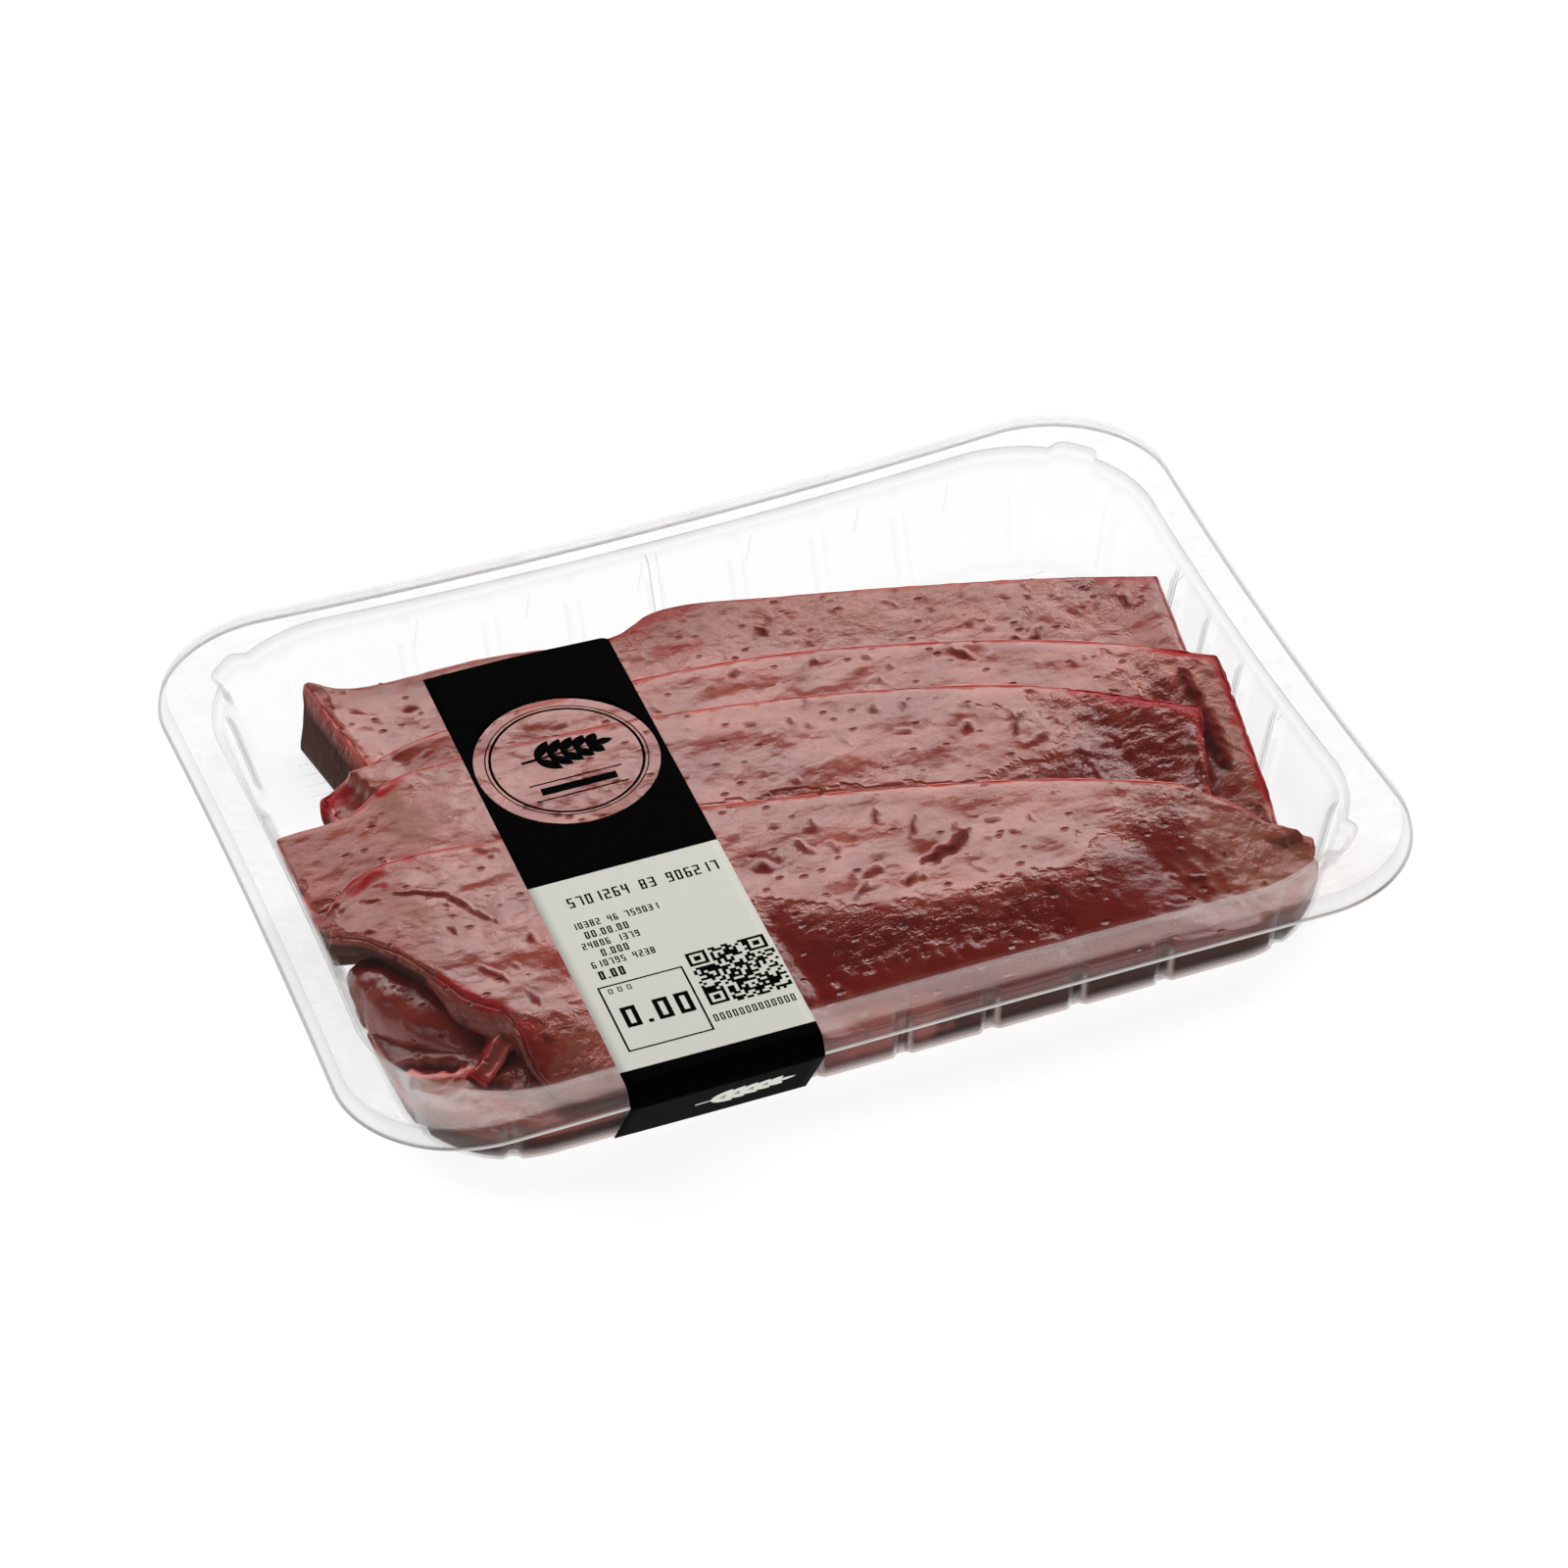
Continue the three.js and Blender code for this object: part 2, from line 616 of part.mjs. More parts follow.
group.add(mesh('liver_slice_3', makeSlice(pile, {
  back: [[-102, 25, 16.5], [-84, 24, 18], [-75, 29, 19.5], [-61, 30, 20], [-39, 29.5, 20], [-10, 26, 20],
    [25, 18, 20], [60, 5, 20], [90, -14, 19]],
  front: [[-98, -4, 10], [-60, -16, 9], [0, -28, 9], [45, -38, 9], [80, -44, 12]],
  fall: 1.8,
  crown: 0.3,
  wave: 0.6,
}), liverMeat));

group.add(mesh('liver_slice_4', makeSlice(pile, {
  back: [[-101, -6, 18.5], [-91, 0, 21], [-78, 1, 22], [-61, -1, 22], [-22, -7, 22], [24, -19, 22.4],
    [60, -32, 22.3], [84, -47, 21], [95, -58, 18]],
  front: [[-98, -14, 18], [-89, -31, 19.5], [-83, -46, 18.5], [-76, -55, 17], [-64, -60, 15], [-46, -74, 13],
    [-15, -79, 12], [30, -79, 12], [66, -78, 13], [83, -74, 15], [91, -66, 16.5]],
  fall: 3,
  crown: 0.4,
  wave: 0.7,
}), liverMeat));

export default group;
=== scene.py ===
"""A sealed retail pack of sliced beef liver: a clear formed tray with a lidding film, a paper label band that
wraps over the front rim, and the wet slices inside. Laid out as an add-on: the sizes and colours are
properties, and each group of pieces has its operator. Sizes are millimetres in the geometry functions and
metres in the meshes."""

import math

import bpy
import numpy as np
from mathutils import Matrix, Vector


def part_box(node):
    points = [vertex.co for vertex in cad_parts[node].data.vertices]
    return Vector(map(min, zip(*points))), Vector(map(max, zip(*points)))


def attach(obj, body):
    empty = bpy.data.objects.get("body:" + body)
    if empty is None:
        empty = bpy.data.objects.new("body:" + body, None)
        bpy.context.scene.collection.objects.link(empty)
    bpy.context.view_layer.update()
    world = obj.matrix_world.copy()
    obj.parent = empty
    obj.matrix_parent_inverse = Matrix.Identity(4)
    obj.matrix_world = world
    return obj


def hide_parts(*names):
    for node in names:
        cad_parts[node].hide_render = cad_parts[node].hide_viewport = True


bl_info = {
    "name": "Liver pack",
    "version": (1, 0, 0),
    "blender": (4, 5, 0),
    "location": "3D View > Sidebar > Liver pack",
    "description": "Builds a clear sealed tray of sliced liver with its film and label band",
    "category": "Object",
}

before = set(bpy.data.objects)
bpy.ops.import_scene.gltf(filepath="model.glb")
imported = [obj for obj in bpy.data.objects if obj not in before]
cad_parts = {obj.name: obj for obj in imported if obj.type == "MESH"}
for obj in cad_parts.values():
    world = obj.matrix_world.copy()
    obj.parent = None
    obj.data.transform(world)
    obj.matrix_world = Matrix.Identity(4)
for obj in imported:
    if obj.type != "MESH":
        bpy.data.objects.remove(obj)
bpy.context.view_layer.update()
MM = 0.001
BODY = "root"


# ---------------------------------------------------------------------------------------------------------
# Properties
# ---------------------------------------------------------------------------------------------------------
def length(name, description, default):
    return bpy.props.FloatProperty(name=name, description=description, default=default * MM, unit="LENGTH",
                                   subtype="DISTANCE", precision=4)


def colour(name, description, default):
    return bpy.props.FloatVectorProperty(name=name, description=description, default=default, size=3,
                                         subtype="COLOR", min=0.0, max=1.0)


TRAY_LOW, TRAY_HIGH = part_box("tray")
LIP_FLARE = 0.9


class PackSizes(bpy.types.PropertyGroup):
    rim_length: length("Rim length", "Tray rim along X", (TRAY_HIGH.x - TRAY_LOW.x) / MM - 2 * LIP_FLARE)
    rim_width: length("Rim width", "Tray rim along Y", (TRAY_HIGH.y - TRAY_LOW.y) / MM - 2 * LIP_FLARE)
    depth: length("Depth", "Underside of the base to the top of the flange", TRAY_HIGH.z / MM)
    sheet: length("Sheet", "Wall of the formed tray", 0.55)
    film: length("Film", "Thickness of the lidding film", 0.12)
    paper: length("Label paper", "Thickness of the label band", 0.2)
    label_width: length("Label width", "Width of the label band", 40.7)


class LiverLook(bpy.types.PropertyGroup):
    flesh: colour("Flesh", "Main colour of the liver", (0.190, 0.009, 0.006))
    # Pale flesh: partly the real paler flesh of the membranes and ends, partly painted light, as the flat tops that
    # face the lamps are painted paler than the slopes.
    pale: colour("Pale flesh", "Paler flesh of the flat tops and the ends", (0.385, 0.072, 0.042))
    # Painted highlight: the thin rim colour is the bright red line where a slice's thin edge catches the light.
    rim: colour("Thin rim", "Light through the thin edge of a slice", (0.85, 0.16, 0.14))
    # The cut colour is the dark brown of the slices' sides and underside, and also painted shade where the flesh lies
    # against the front wall, out of the light.
    cut: colour("Cut face", "Brown of the thick cut ends", (0.045, 0.016, 0.011))
    worn: colour("Dry flesh", "Duller brown where the surface is drier", (0.33, 0.120, 0.078))
    # The vessel colour is partly the blood in the vessels and partly painted shade in hollows: deeper marks and the
    # small dimples are painted darker, and so is the roll's side tucked under the front slice.
    pit: colour("Vessel", "Inside the small vessels and slits", (0.135, 0.007, 0.007))
    blood: colour("Fresh edge", "Bright red where the flesh is freshly cut", (0.36, 0.003, 0.008))
    wet: bpy.props.FloatProperty(name="Wet surface", description="Roughness of the wet surface", default=0.16,
                                 min=0.02, max=1.0, subtype="FACTOR")


class PackLook(bpy.types.PropertyGroup):
    # Painted shade: the plastic colour is the dark grey put where the clear sheet is seen edge on and at its folds,
    # standing for the dark room seen bent through it.
    plastic: colour("Plastic", "Tint of the clear tray where it is seen edge on", (0.07, 0.07, 0.072))
    black: colour("Label black", "Printed black of the label", (0.0018, 0.0018, 0.0018))
    white: colour("Label white", "Off-white of the label", (0.80, 0.80, 0.725))


# ---------------------------------------------------------------------------------------------------------
# Shader expressions
# ---------------------------------------------------------------------------------------------------------
class Sock:
    """A node socket, or a number, that takes part in Python expressions."""

    def __init__(self, shader, socket):
        self.shader = shader
        self.socket = socket

    def _math(self, operation, a, b=None):
        inputs = {0: a} if b is None else {0: a, 1: b}
        return self.shader.node("ShaderNodeMath", {"operation": operation}, inputs)[0]

    def __add__(self, other):
        return self._math("ADD", self, other)

    def __sub__(self, other):
        return self._math("SUBTRACT", self, other)

    def __mul__(self, other):
        return self._math("MULTIPLY", self, other)

    def __truediv__(self, other):
        return self._math("DIVIDE", self, other)

    def __pow__(self, other):
        return self._math("POWER", self, other)

    def __rsub__(self, other):
        return self._math("SUBTRACT", other, self)

    __radd__ = __add__
    __rmul__ = __mul__


class Shader:
    """A material's node tree, built by calls."""

    def __init__(self, name):
        self.material = bpy.data.materials.new(name)
        self.material.use_nodes = True
        self.tree = self.material.node_tree
        self.tree.nodes.clear()
        self.place = self.node("ShaderNodeTexCoord")["Object"]

    def node(self, kind, settings=None, inputs=None):
        made = self.tree.nodes.new(kind)
        for key, value in (settings or {}).items():
            if key == "stops":
                self._stops(made, value)
            else:
                setattr(made, key, value)
        for key, value in (inputs or {}).items():
            socket = made.inputs[key]
            if isinstance(value, Sock):
                self.tree.links.new(value.socket, socket)
            else:
                socket.default_value = value
        return Outputs(self, made)

    @staticmethod
    def _stops(ramp_node, stops):
        elements = ramp_node.color_ramp.elements
        while len(elements) < len(stops):
            elements.new(1.0)
        for element, (position, value) in zip(elements, stops):
            element.position = position
            element.color = (value, value, value, 1.0) if isinstance(value, float) else (*value, 1.0)

    def noise(self, scale, detail=2.0, roughness=0.5, place=None):
        inputs = {"Vector": place or self.place, "Scale": scale, "Detail": detail, "Roughness": roughness}
        return self.node("ShaderNodeTexNoise", None, inputs)["Fac"]

    def stretched(self, scale, turn=0.0):
        """The place, scaled along the axes and turned about Z."""
        inputs = {"Vector": self.place, "Rotation": (0.0, 0.0, turn), "Scale": scale}
        return self.node("ShaderNodeMapping", None, inputs)["Vector"]

    def step(self, value, low, high):
        """0 below low, 1 above high, smooth between."""
        inputs = {"Value": value, "From Min": low, "From Max": high}
        return self.node("ShaderNodeMapRange", {"interpolation_type": "SMOOTHSTEP"}, inputs)["Result"]

    def mix(self, factor, a, b):
        """A colour from a to b."""
        colours = [(*c, 1.0) if isinstance(c, (tuple, list)) else c for c in (a, b)]
        inputs = {"Factor": factor, 6: colours[0], 7: colours[1]}
        return self.node("ShaderNodeMix", {"data_type": "RGBA"}, inputs)[2]

    def attribute(self, name):
        return self.node("ShaderNodeAttribute", {"attribute_name": name})["Fac"]

    def over_food(self, tint):
        """A painted pink along the front rim, where the flange lies over the food: the food's colour glowing through
        the cloudy seal, painted into the tint.
        """
        axes = self.node("ShaderNodeSeparateXYZ", None, {0: self.place})
        side = self.node("ShaderNodeMath", {"operation": "ABSOLUTE"}, {0: axes["X"]})[0]
        front = self.step(0.0 - axes["Y"], 0.066, 0.076) * (1.0 - self.step(side, 0.086, 0.104))
        return self.mix(front, tint, (tint[0], tint[1] * 0.74, tint[2] * 0.69))

    def bump(self, height, strength, distance, under=None):
        inputs = {"Height": height, "Strength": strength, "Distance": distance}
        if under is not None:
            inputs["Normal"] = under
        return self.node("ShaderNodeBump", None, inputs)["Normal"]

    def principled(self, inputs):
        return self.node("ShaderNodeBsdfPrincipled", None, inputs)["BSDF"]

    def finish(self, surface):
        self.node("ShaderNodeOutputMaterial", None, {"Surface": surface})
        return self.material


class Outputs:
    def __init__(self, shader, made):
        self.shader = shader
        self.made = made

    def __getitem__(self, key):
        return Sock(self.shader, self.made.outputs[key])


# ---------------------------------------------------------------------------------------------------------
# Materials
# ---------------------------------------------------------------------------------------------------------
def liver_material():
    """Wet raw liver. The mesh says where it is pale (on the flat tops partly painted light), worn, rim (a painted
    highlight), cut face (with painted shade against the front wall), vessel (with painted shade in the hollows),
    freshly cut, uneven or pressed against the tray, where it has no gloss of its own."""
    look = bpy.context.scene.liver_look
    s = Shader("wet_liver")
    broad = s.step(s.noise(34.0, 3.0, 0.55), 0.36, 0.68)
    mottle = s.step(s.noise(210.0, 4.0, 0.62), 0.46, 0.74)
    brushed = s.noise(1.0, 3.0, 0.55, s.stretched((300.0, 480.0, 420.0), -0.3))
    fine = s.noise(650.0, 3.0, 0.6)
    pit = s.attribute("pit")
    rough = s.attribute("rough")
    blood = s.attribute("blood")
    dimples = s.node("ShaderNodeTexVoronoi", {"feature": "F1"},
                     {"Vector": s.stretched((210.0, 340.0, 260.0), -0.25), "Scale": 1.0, "Randomness": 1.0})
    chosen = s.step(s.node("ShaderNodeSeparateColor", None, {"Color": dimples["Color"]})["Red"], 0.50, 0.54)
    dimple = (1.0 - s.step(dimples["Distance"], 0.02, 0.26)) * chosen
    # Painted light in part: the pale weight is high on the flat tops that face the lamps.
    pale = s.attribute("pale") * (broad * 0.35 + 0.75)
    base = s.mix(pale, tuple(look.flesh), tuple(look.pale))
    base = s.mix(mottle * 0.45, base, tuple(look.flesh))
    worn = s.attribute("worn") * (s.step(s.noise(150.0, 4.0, 0.65), 0.40, 0.60) * 0.6 + 0.4)
    base = s.mix(worn, base, tuple(look.worn))
    # The cut colour carries painted shade where the flesh lies against the front wall.
    base = s.mix(s.attribute("cut"), base, tuple(look.cut))
    # Painted highlight along the thin edges.
    base = s.mix(s.attribute("rim"), base, tuple(look.rim))
    base = s.mix(blood, base, tuple(look.blood))
    # Painted shade in the small dimples and, below, in the vessels' hollows.
    base = s.mix(dimple * 0.65, base, tuple(look.pit))
    base = s.mix(pit, base, tuple(look.pit))
    grain = s.bump(fine * (rough * 3.4 + 0.6), 0.6, 0.00018)
    skin = s.bump(brushed * (rough * 2.6 + 0.7), 0.6, 0.00028, grain)
    pitted = s.bump(1.0 - dimple, 0.9, 0.00044, skin)
    wet = s.principled({
        "Base Color": base,
        "Roughness": s.step(fine, 0.3, 0.8) * 0.05 + pit * 0.2 + float(look.wet),
        "IOR": 1.48,
        "Subsurface Weight": 0.08,
        "Subsurface Radius": (1.0, 0.25, 0.15),
        "Subsurface Scale": 0.0015,
        "Normal": pitted,
    })
    matt = s.node("ShaderNodeBsdfDiffuse", None, {"Color": base})["BSDF"]
    dull = s.attribute("pressed") + s.attribute("cut") * 0.92 + worn * 0.65 + pit * 0.85 + blood * 0.6
    mixed = s.node("ShaderNodeMixShader", None, {"Fac": dull, 1: wet, 2: matt})["Shader"]
    return s.finish(mixed)


def plastic_material():
    """Clear formed plastic: a thin clear sheet that shows by its gloss, with painted grey where it is seen edge on and
    at its folds, and a painted highlight along the front lip.
    """
    look = bpy.context.scene.pack_look
    s = Shader("clear_plastic")
    edge_on = s.node("ShaderNodeLayerWeight", None, {"Blend": 0.5})["Facing"]
    smears = s.step(s.noise(1.0, 3.0, 0.6, s.stretched((60.0, 60.0, 25.0))), 0.35, 0.75)
    crease = s.attribute("crease")
    seal = s.attribute("seal")
    gleam = s.attribute("gleam")
    # Painted shade and light: the sheet is made more opaque in dark grey edge on and at folds, and in near white along
    # the painted lip highlight.
    opacity = edge_on ** 6.0 * 0.36 + crease * 0.6 + seal * (smears * 0.06 + 0.05) + gleam * 0.8 + 0.05
    tint = s.mix(crease * 0.5 + seal * 0.8, tuple(look.plastic), s.over_food((0.62, 0.62, 0.62)))
    sheet = s.principled({
        "Base Color": s.mix(gleam, tint, (1.0, 0.97, 0.95)),
        "Roughness": smears * 0.04 + 0.06,
        "IOR": 1.5,
        "Alpha": opacity,
    })
    gloss = s.node("ShaderNodeBsdfGlossy", None, {"Color": (1.0, 1.0, 1.0, 1.0), "Roughness": 0.05})["BSDF"]
    shine = s.step(edge_on, 0.45, 1.0) * 0.12 + 0.003
    mixed = s.node("ShaderNodeMixShader", None, {"Fac": shine, 1: sheet, 2: gloss})["Shader"]
    return s.finish(mixed)


def film_material():
    """The lidding film: almost unseen over the food, cloudy where it is sealed to the flange."""
    s = Shader("lid_film")
    smears = s.step(s.noise(1.0, 4.0, 0.65, s.stretched((45.0, 90.0, 60.0), 0.2)), 0.36, 0.72)
    specks = s.step(s.noise(420.0, 2.0, 0.5), 0.60, 0.72)
    opacity = s.attribute("seal") * (smears * 0.06 + specks * 0.05 + 0.045) + 0.004
    clear = s.principled({
        # Painted glow: along the front rim the film turns pink as if lit by the food beneath.
        "Base Color": s.mix(specks * 0.4, s.over_food((0.90, 0.90, 0.90)), (0.95, 0.95, 0.95)),
        "Roughness": 0.22,
        "IOR": 1.5,
        "Alpha": opacity,
    })
    return s.finish(clear)


def paper_material(name, tint, roughness=0.42):
    """Coated label paper with a fine fibre grain."""
    s = Shader(name)
    fibre = s.noise(1.0, 3.0, 0.6, s.stretched((900.0, 2600.0, 900.0)))
    speckle = s.step(s.noise(1500.0, 2.0, 0.5), 0.58, 0.80)
    lighter = tuple(min(1.0, c * 1.06 + 0.004) for c in tint)
    paper = s.principled({
        "Base Color": s.mix(speckle, tuple(tint), lighter),
        "Roughness": fibre * 0.14 + roughness,
        "IOR": 1.45,
        "Specular IOR Level": 0.002,
        "Normal": s.bump(fibre, 0.12, 0.0001),
    })
    return s.finish(paper)


def juice_material():
    """Thin red juice: clear and glossy."""
    s = Shader("meat_juice")
    cloud = s.noise(300.0, 2.0, 0.5)
    juice = s.principled({
        "Base Color": s.mix(cloud, (0.42, 0.03, 0.02), (0.55, 0.06, 0.04)),
        "Roughness": cloud * 0.03 + 0.03,
        "IOR": 1.35,
        "Alpha": cloud * 0.1 + 0.32,
        "Coat Weight": 1.0,
        "Coat Roughness": 0.02,
    })
    return s.finish(juice)


def studio_world():
    """A dim room: dark overhead, lighter towards the horizon."""
    world = bpy.data.worlds.new("studio")
    world.use_nodes = True
    tree = world.node_tree
    place = tree.nodes.new("ShaderNodeTexCoord")
    split = tree.nodes.new("ShaderNodeSeparateXYZ")
    ramp = tree.nodes.new("ShaderNodeValToRGB")
    Shader._stops(ramp, [(0.0, 0.42), (0.35, 0.20), (0.7, 0.03), (1.0, 0.02)])
    tree.links.new(place.outputs["Generated"], split.inputs[0])
    tree.links.new(split.outputs["Z"], ramp.inputs["Fac"])
    tree.links.new(ramp.outputs["Color"], tree.nodes["Background"].inputs["Color"])
    return world


def floor_material():
    s = Shader("pale_floor")
    grain = s.noise(40.0, 2.0, 0.5)
    shade = s.mix(grain, (0.21, 0.21, 0.21), (0.23, 0.23, 0.23))
    paint = s.principled({
        "Base Color": shade,
        "Roughness": 0.8,
        "Specular IOR Level": 0.0,
        "Emission Color": (1.0, 1.0, 1.0, 1.0),
        "Emission Strength": 0.90,
    })
    return s.finish(paint)


# ---------------------------------------------------------------------------------------------------------
# Mesh helpers
# ---------------------------------------------------------------------------------------------------------
def make_object(name, points, faces, materials, smooth=True, weights=None, finish=None):
    """A mesh from points in millimetres, with one named float attribute for each entry of weights. finish
    gives the place of each face's material in the list."""
    mesh = bpy.data.meshes.new(name)
    mesh.from_pydata((np.asarray(points, float) * MM).tolist(), [], [list(map(int, f)) for f in faces])
    for key, values in (weights or {}).items():
        layer = mesh.attributes.new(key, "FLOAT", "POINT")
        layer.data.foreach_set("value", np.clip(np.asarray(values, np.float32), 0.0, 1.0))
    for material in materials if isinstance(materials, (list, tuple)) else [materials]:
        mesh.materials.append(material)
    if finish is not None:
        mesh.polygons.foreach_set("material_index", np.asarray(finish, np.int32))
    mesh.validate()
    mesh.update()
    mesh.shade_smooth() if smooth else mesh.shade_flat()
    made = bpy.data.objects.new(name, mesh)
    bpy.context.scene.collection.objects.link(made)
    return made


def dress(piece, slot, *nodes):
    """Rides the piece on the pack and, where it stands for solids, hides them. The slot is not used."""
    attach(piece, BODY)
    if nodes:
        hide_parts(*nodes)
    return piece


def grid_faces(rows, columns, closed=False, start=0):
    """Quads over a grid whose rows run one after another. A closed grid joins its last column to its first."""
    r = np.arange(rows - 1)[:, None]
    c = np.arange(columns if closed else columns - 1)[None, :]
    n = (c + 1) % columns
    quads = np.stack([r * columns + c + 0 * n, r * columns + n, (r + 1) * columns + n, (r + 1) * columns + c], -1)
    return quads.reshape(-1, 4) + start


def vertex_normals(points, faces):
    """Area-weighted normals of a mesh of quads or triangles."""
    normals = np.zeros_like(points)
    for size in (3, 4):
        group = np.array([f for f in faces if len(f) == size])
        if len(group) == 0:
            continue
        a, b, c = points[group[:, 0]], points[group[:, 1]], points[group[:, size - 2]]
        d = points[group[:, size - 1]]
        cross = np.cross(c - a, d - b) if size == 4 else np.cross(points[group[:, 1]] - a, d - a)
        for k in range(size):
            np.add.at(normals, group[:, k], cross)
        del b
    return normals / np.maximum(np.linalg.norm(normals, axis=1, keepdims=True), 1e-9)


def thicken(points, faces, distance, weights=None):
    """A closed sheet: the surface as its upper side, a copy moved down its normals, and walls round its edges."""
    normals = vertex_normals(points, faces)
    count = len(points)
    lower = points - normals * distance
    everything = [list(f) for f in faces]
    everything += [[i + count for i in reversed(f)] for f in faces]
    seen = {}
    for f in faces:
        for k, a in enumerate(f):
            b = f[(k + 1) % len(f)]
            seen[(int(a), int(b))] = True
    for a, b in seen:
        if (b, a) not in seen:
            everything.append([b, a, a + count, b + count])
    both = {key: np.concatenate([v, v]) for key, v in (weights or {}).items()}
    return np.concatenate([points, lower]), everything, both


def smooth_curve(knots, samples):
    """Points evenly spaced along a smooth curve through the knots."""
    knots = np.asarray(knots, float)
    gaps = np.sqrt(np.linalg.norm(np.diff(knots, axis=0), axis=1))
    times = np.concatenate([[0.0], np.cumsum(gaps)])
    slopes = np.gradient(knots, times, axis=0)
    t = np.linspace(0.0, times[-1], 600)
    k = np.clip(np.searchsorted(times, t, side="right") - 1, 0, len(knots) - 2)
    span = (times[k + 1] - times[k])[:, None]
    u = ((t - times[k]) / span[:, 0])[:, None]
    curve = ((2 * u**3 - 3 * u**2 + 1) * knots[k] + (u**3 - 2 * u**2 + u) * span * slopes[k]
             + (3 * u**2 - 2 * u**3) * knots[k + 1] + (u**3 - u**2) * span * slopes[k + 1])
    run = np.concatenate([[0.0], np.cumsum(np.linalg.norm(np.diff(curve, axis=0), axis=1))])
    even = np.linspace(0.0, run[-1], samples)
    return np.stack([np.interp(even, run, curve[:, axis]) for axis in range(3)], 1)


class Ripple:
    """A smooth random field in space: the sum of plane waves of about one wavelength, from -1 to 1 or so."""

    def __init__(self, wavelength, seed, waves=28, squeeze=(1.0, 1.0, 1.0)):
        draw = np.random.default_rng(seed)
        direction = draw.normal(size=(waves, 3)) * np.array(squeeze)
        direction /= np.linalg.norm(direction, axis=1, keepdims=True)
        self.waves = direction * 2 * np.pi / (wavelength * draw.uniform(0.75, 1.4, (waves, 1)))
        self.phase = draw.uniform(0, 2 * np.pi, waves)

    def at(self, points):
        return np.cos(points @ self.waves.T + self.phase).sum(1) / np.sqrt(len(self.phase) / 2) * 0.6


# ---------------------------------------------------------------------------------------------------------
# The tray's form, shared by tray, film, label and slices
# ---------------------------------------------------------------------------------------------------------
RIM_RADIUS = 27.0
LIP_DROP = 4.0
FLANGE = 8.3
MOUTH_RADIUS = 31.5
LEDGE_WIDTH = 1.7
LEDGE_DROP = 2.5
WALL_LEAN = 6.2
BASE_ROUND = 4.0
FLUTE_DEPTH = 1.8
FLUTE_WIDTH = 4.6
FLUTE_FLOOR = 2.0
LONG_PITCH = 18.85
SHORT_PITCH = 17.5
LONG_FLUTES = 7
SHORT_FLUTES = 4
CORNER_FLUTES = (20.0, 70.0)
CORNER_FLUTE_HALF = 5.5
LUG_DEPTH = 3.0
LUG_HALF_ANGLE = 9.5
LUG_BOTTOM = 8.5
LONG_BOW = 1.7
SHORT_BOW = 1.0
LONG_SAG = 1.2
SHORT_SAG = 0.9
SLACK = 0.35
SHEET = 0.6
GAP = 0.3


def sizes():
    return bpy.context.scene.pack_sizes


def half_sizes():
    return np.array([sizes().rim_length / MM / 2, sizes().rim_width / MM / 2])


def depth():
    return sizes().depth / MM


def sag(x, y):
    """How far the rim and the taut film lie below the flat plane through the rim's corners."""
    hx, hy = half_sizes()
    u = np.minimum(1, (x / (hx - RIM_RADIUS)) ** 2)
    v = np.minimum(1, (y / (hy - RIM_RADIUS)) ** 2)
    across_x = np.minimum(1, (x / hx) ** 2)
    across_y = np.minimum(1, (y / hy) ** 2)
    long_side = LONG_SAG * (1 - u) * (SLACK + (1 - SLACK) * across_y)
    return long_side + SHORT_SAG * (1 - v) * (SLACK + (1 - SLACK) * across_x)


def flute_of_side(at, long_side):
    """How deep the flutes are at a distance along a side, from 0 to 1."""
    count, pitch = (LONG_FLUTES, LONG_PITCH) if long_side else (SHORT_FLUTES, SHORT_PITCH)
    places = (np.arange(count) - (count - 1) / 2) * pitch
    distance = np.min(np.abs(np.asarray(at)[..., None] - places), axis=-1)
    return 1 - smoothstep((distance - FLUTE_FLOOR / 2) / ((FLUTE_WIDTH - FLUTE_FLOOR) / 2))


def flute_of_corner(angle):
    distance = np.min(np.abs(np.asarray(angle)[..., None] - np.array(CORNER_FLUTES)), axis=-1)
    return 1 - smoothstep((distance - 1.8) / (CORNER_FLUTE_HALF - 1.8))


def lug_of_corner(angle):
    distance = np.abs(np.asarray(angle) - 45.0)
    return 1 - smoothstep((distance - LUG_HALF_ANGLE + 3.0) / 3.2)


def smoothstep(t):
    t = np.clip(t, 0.0, 1.0)
    return t * t * (3 - 2 * t)


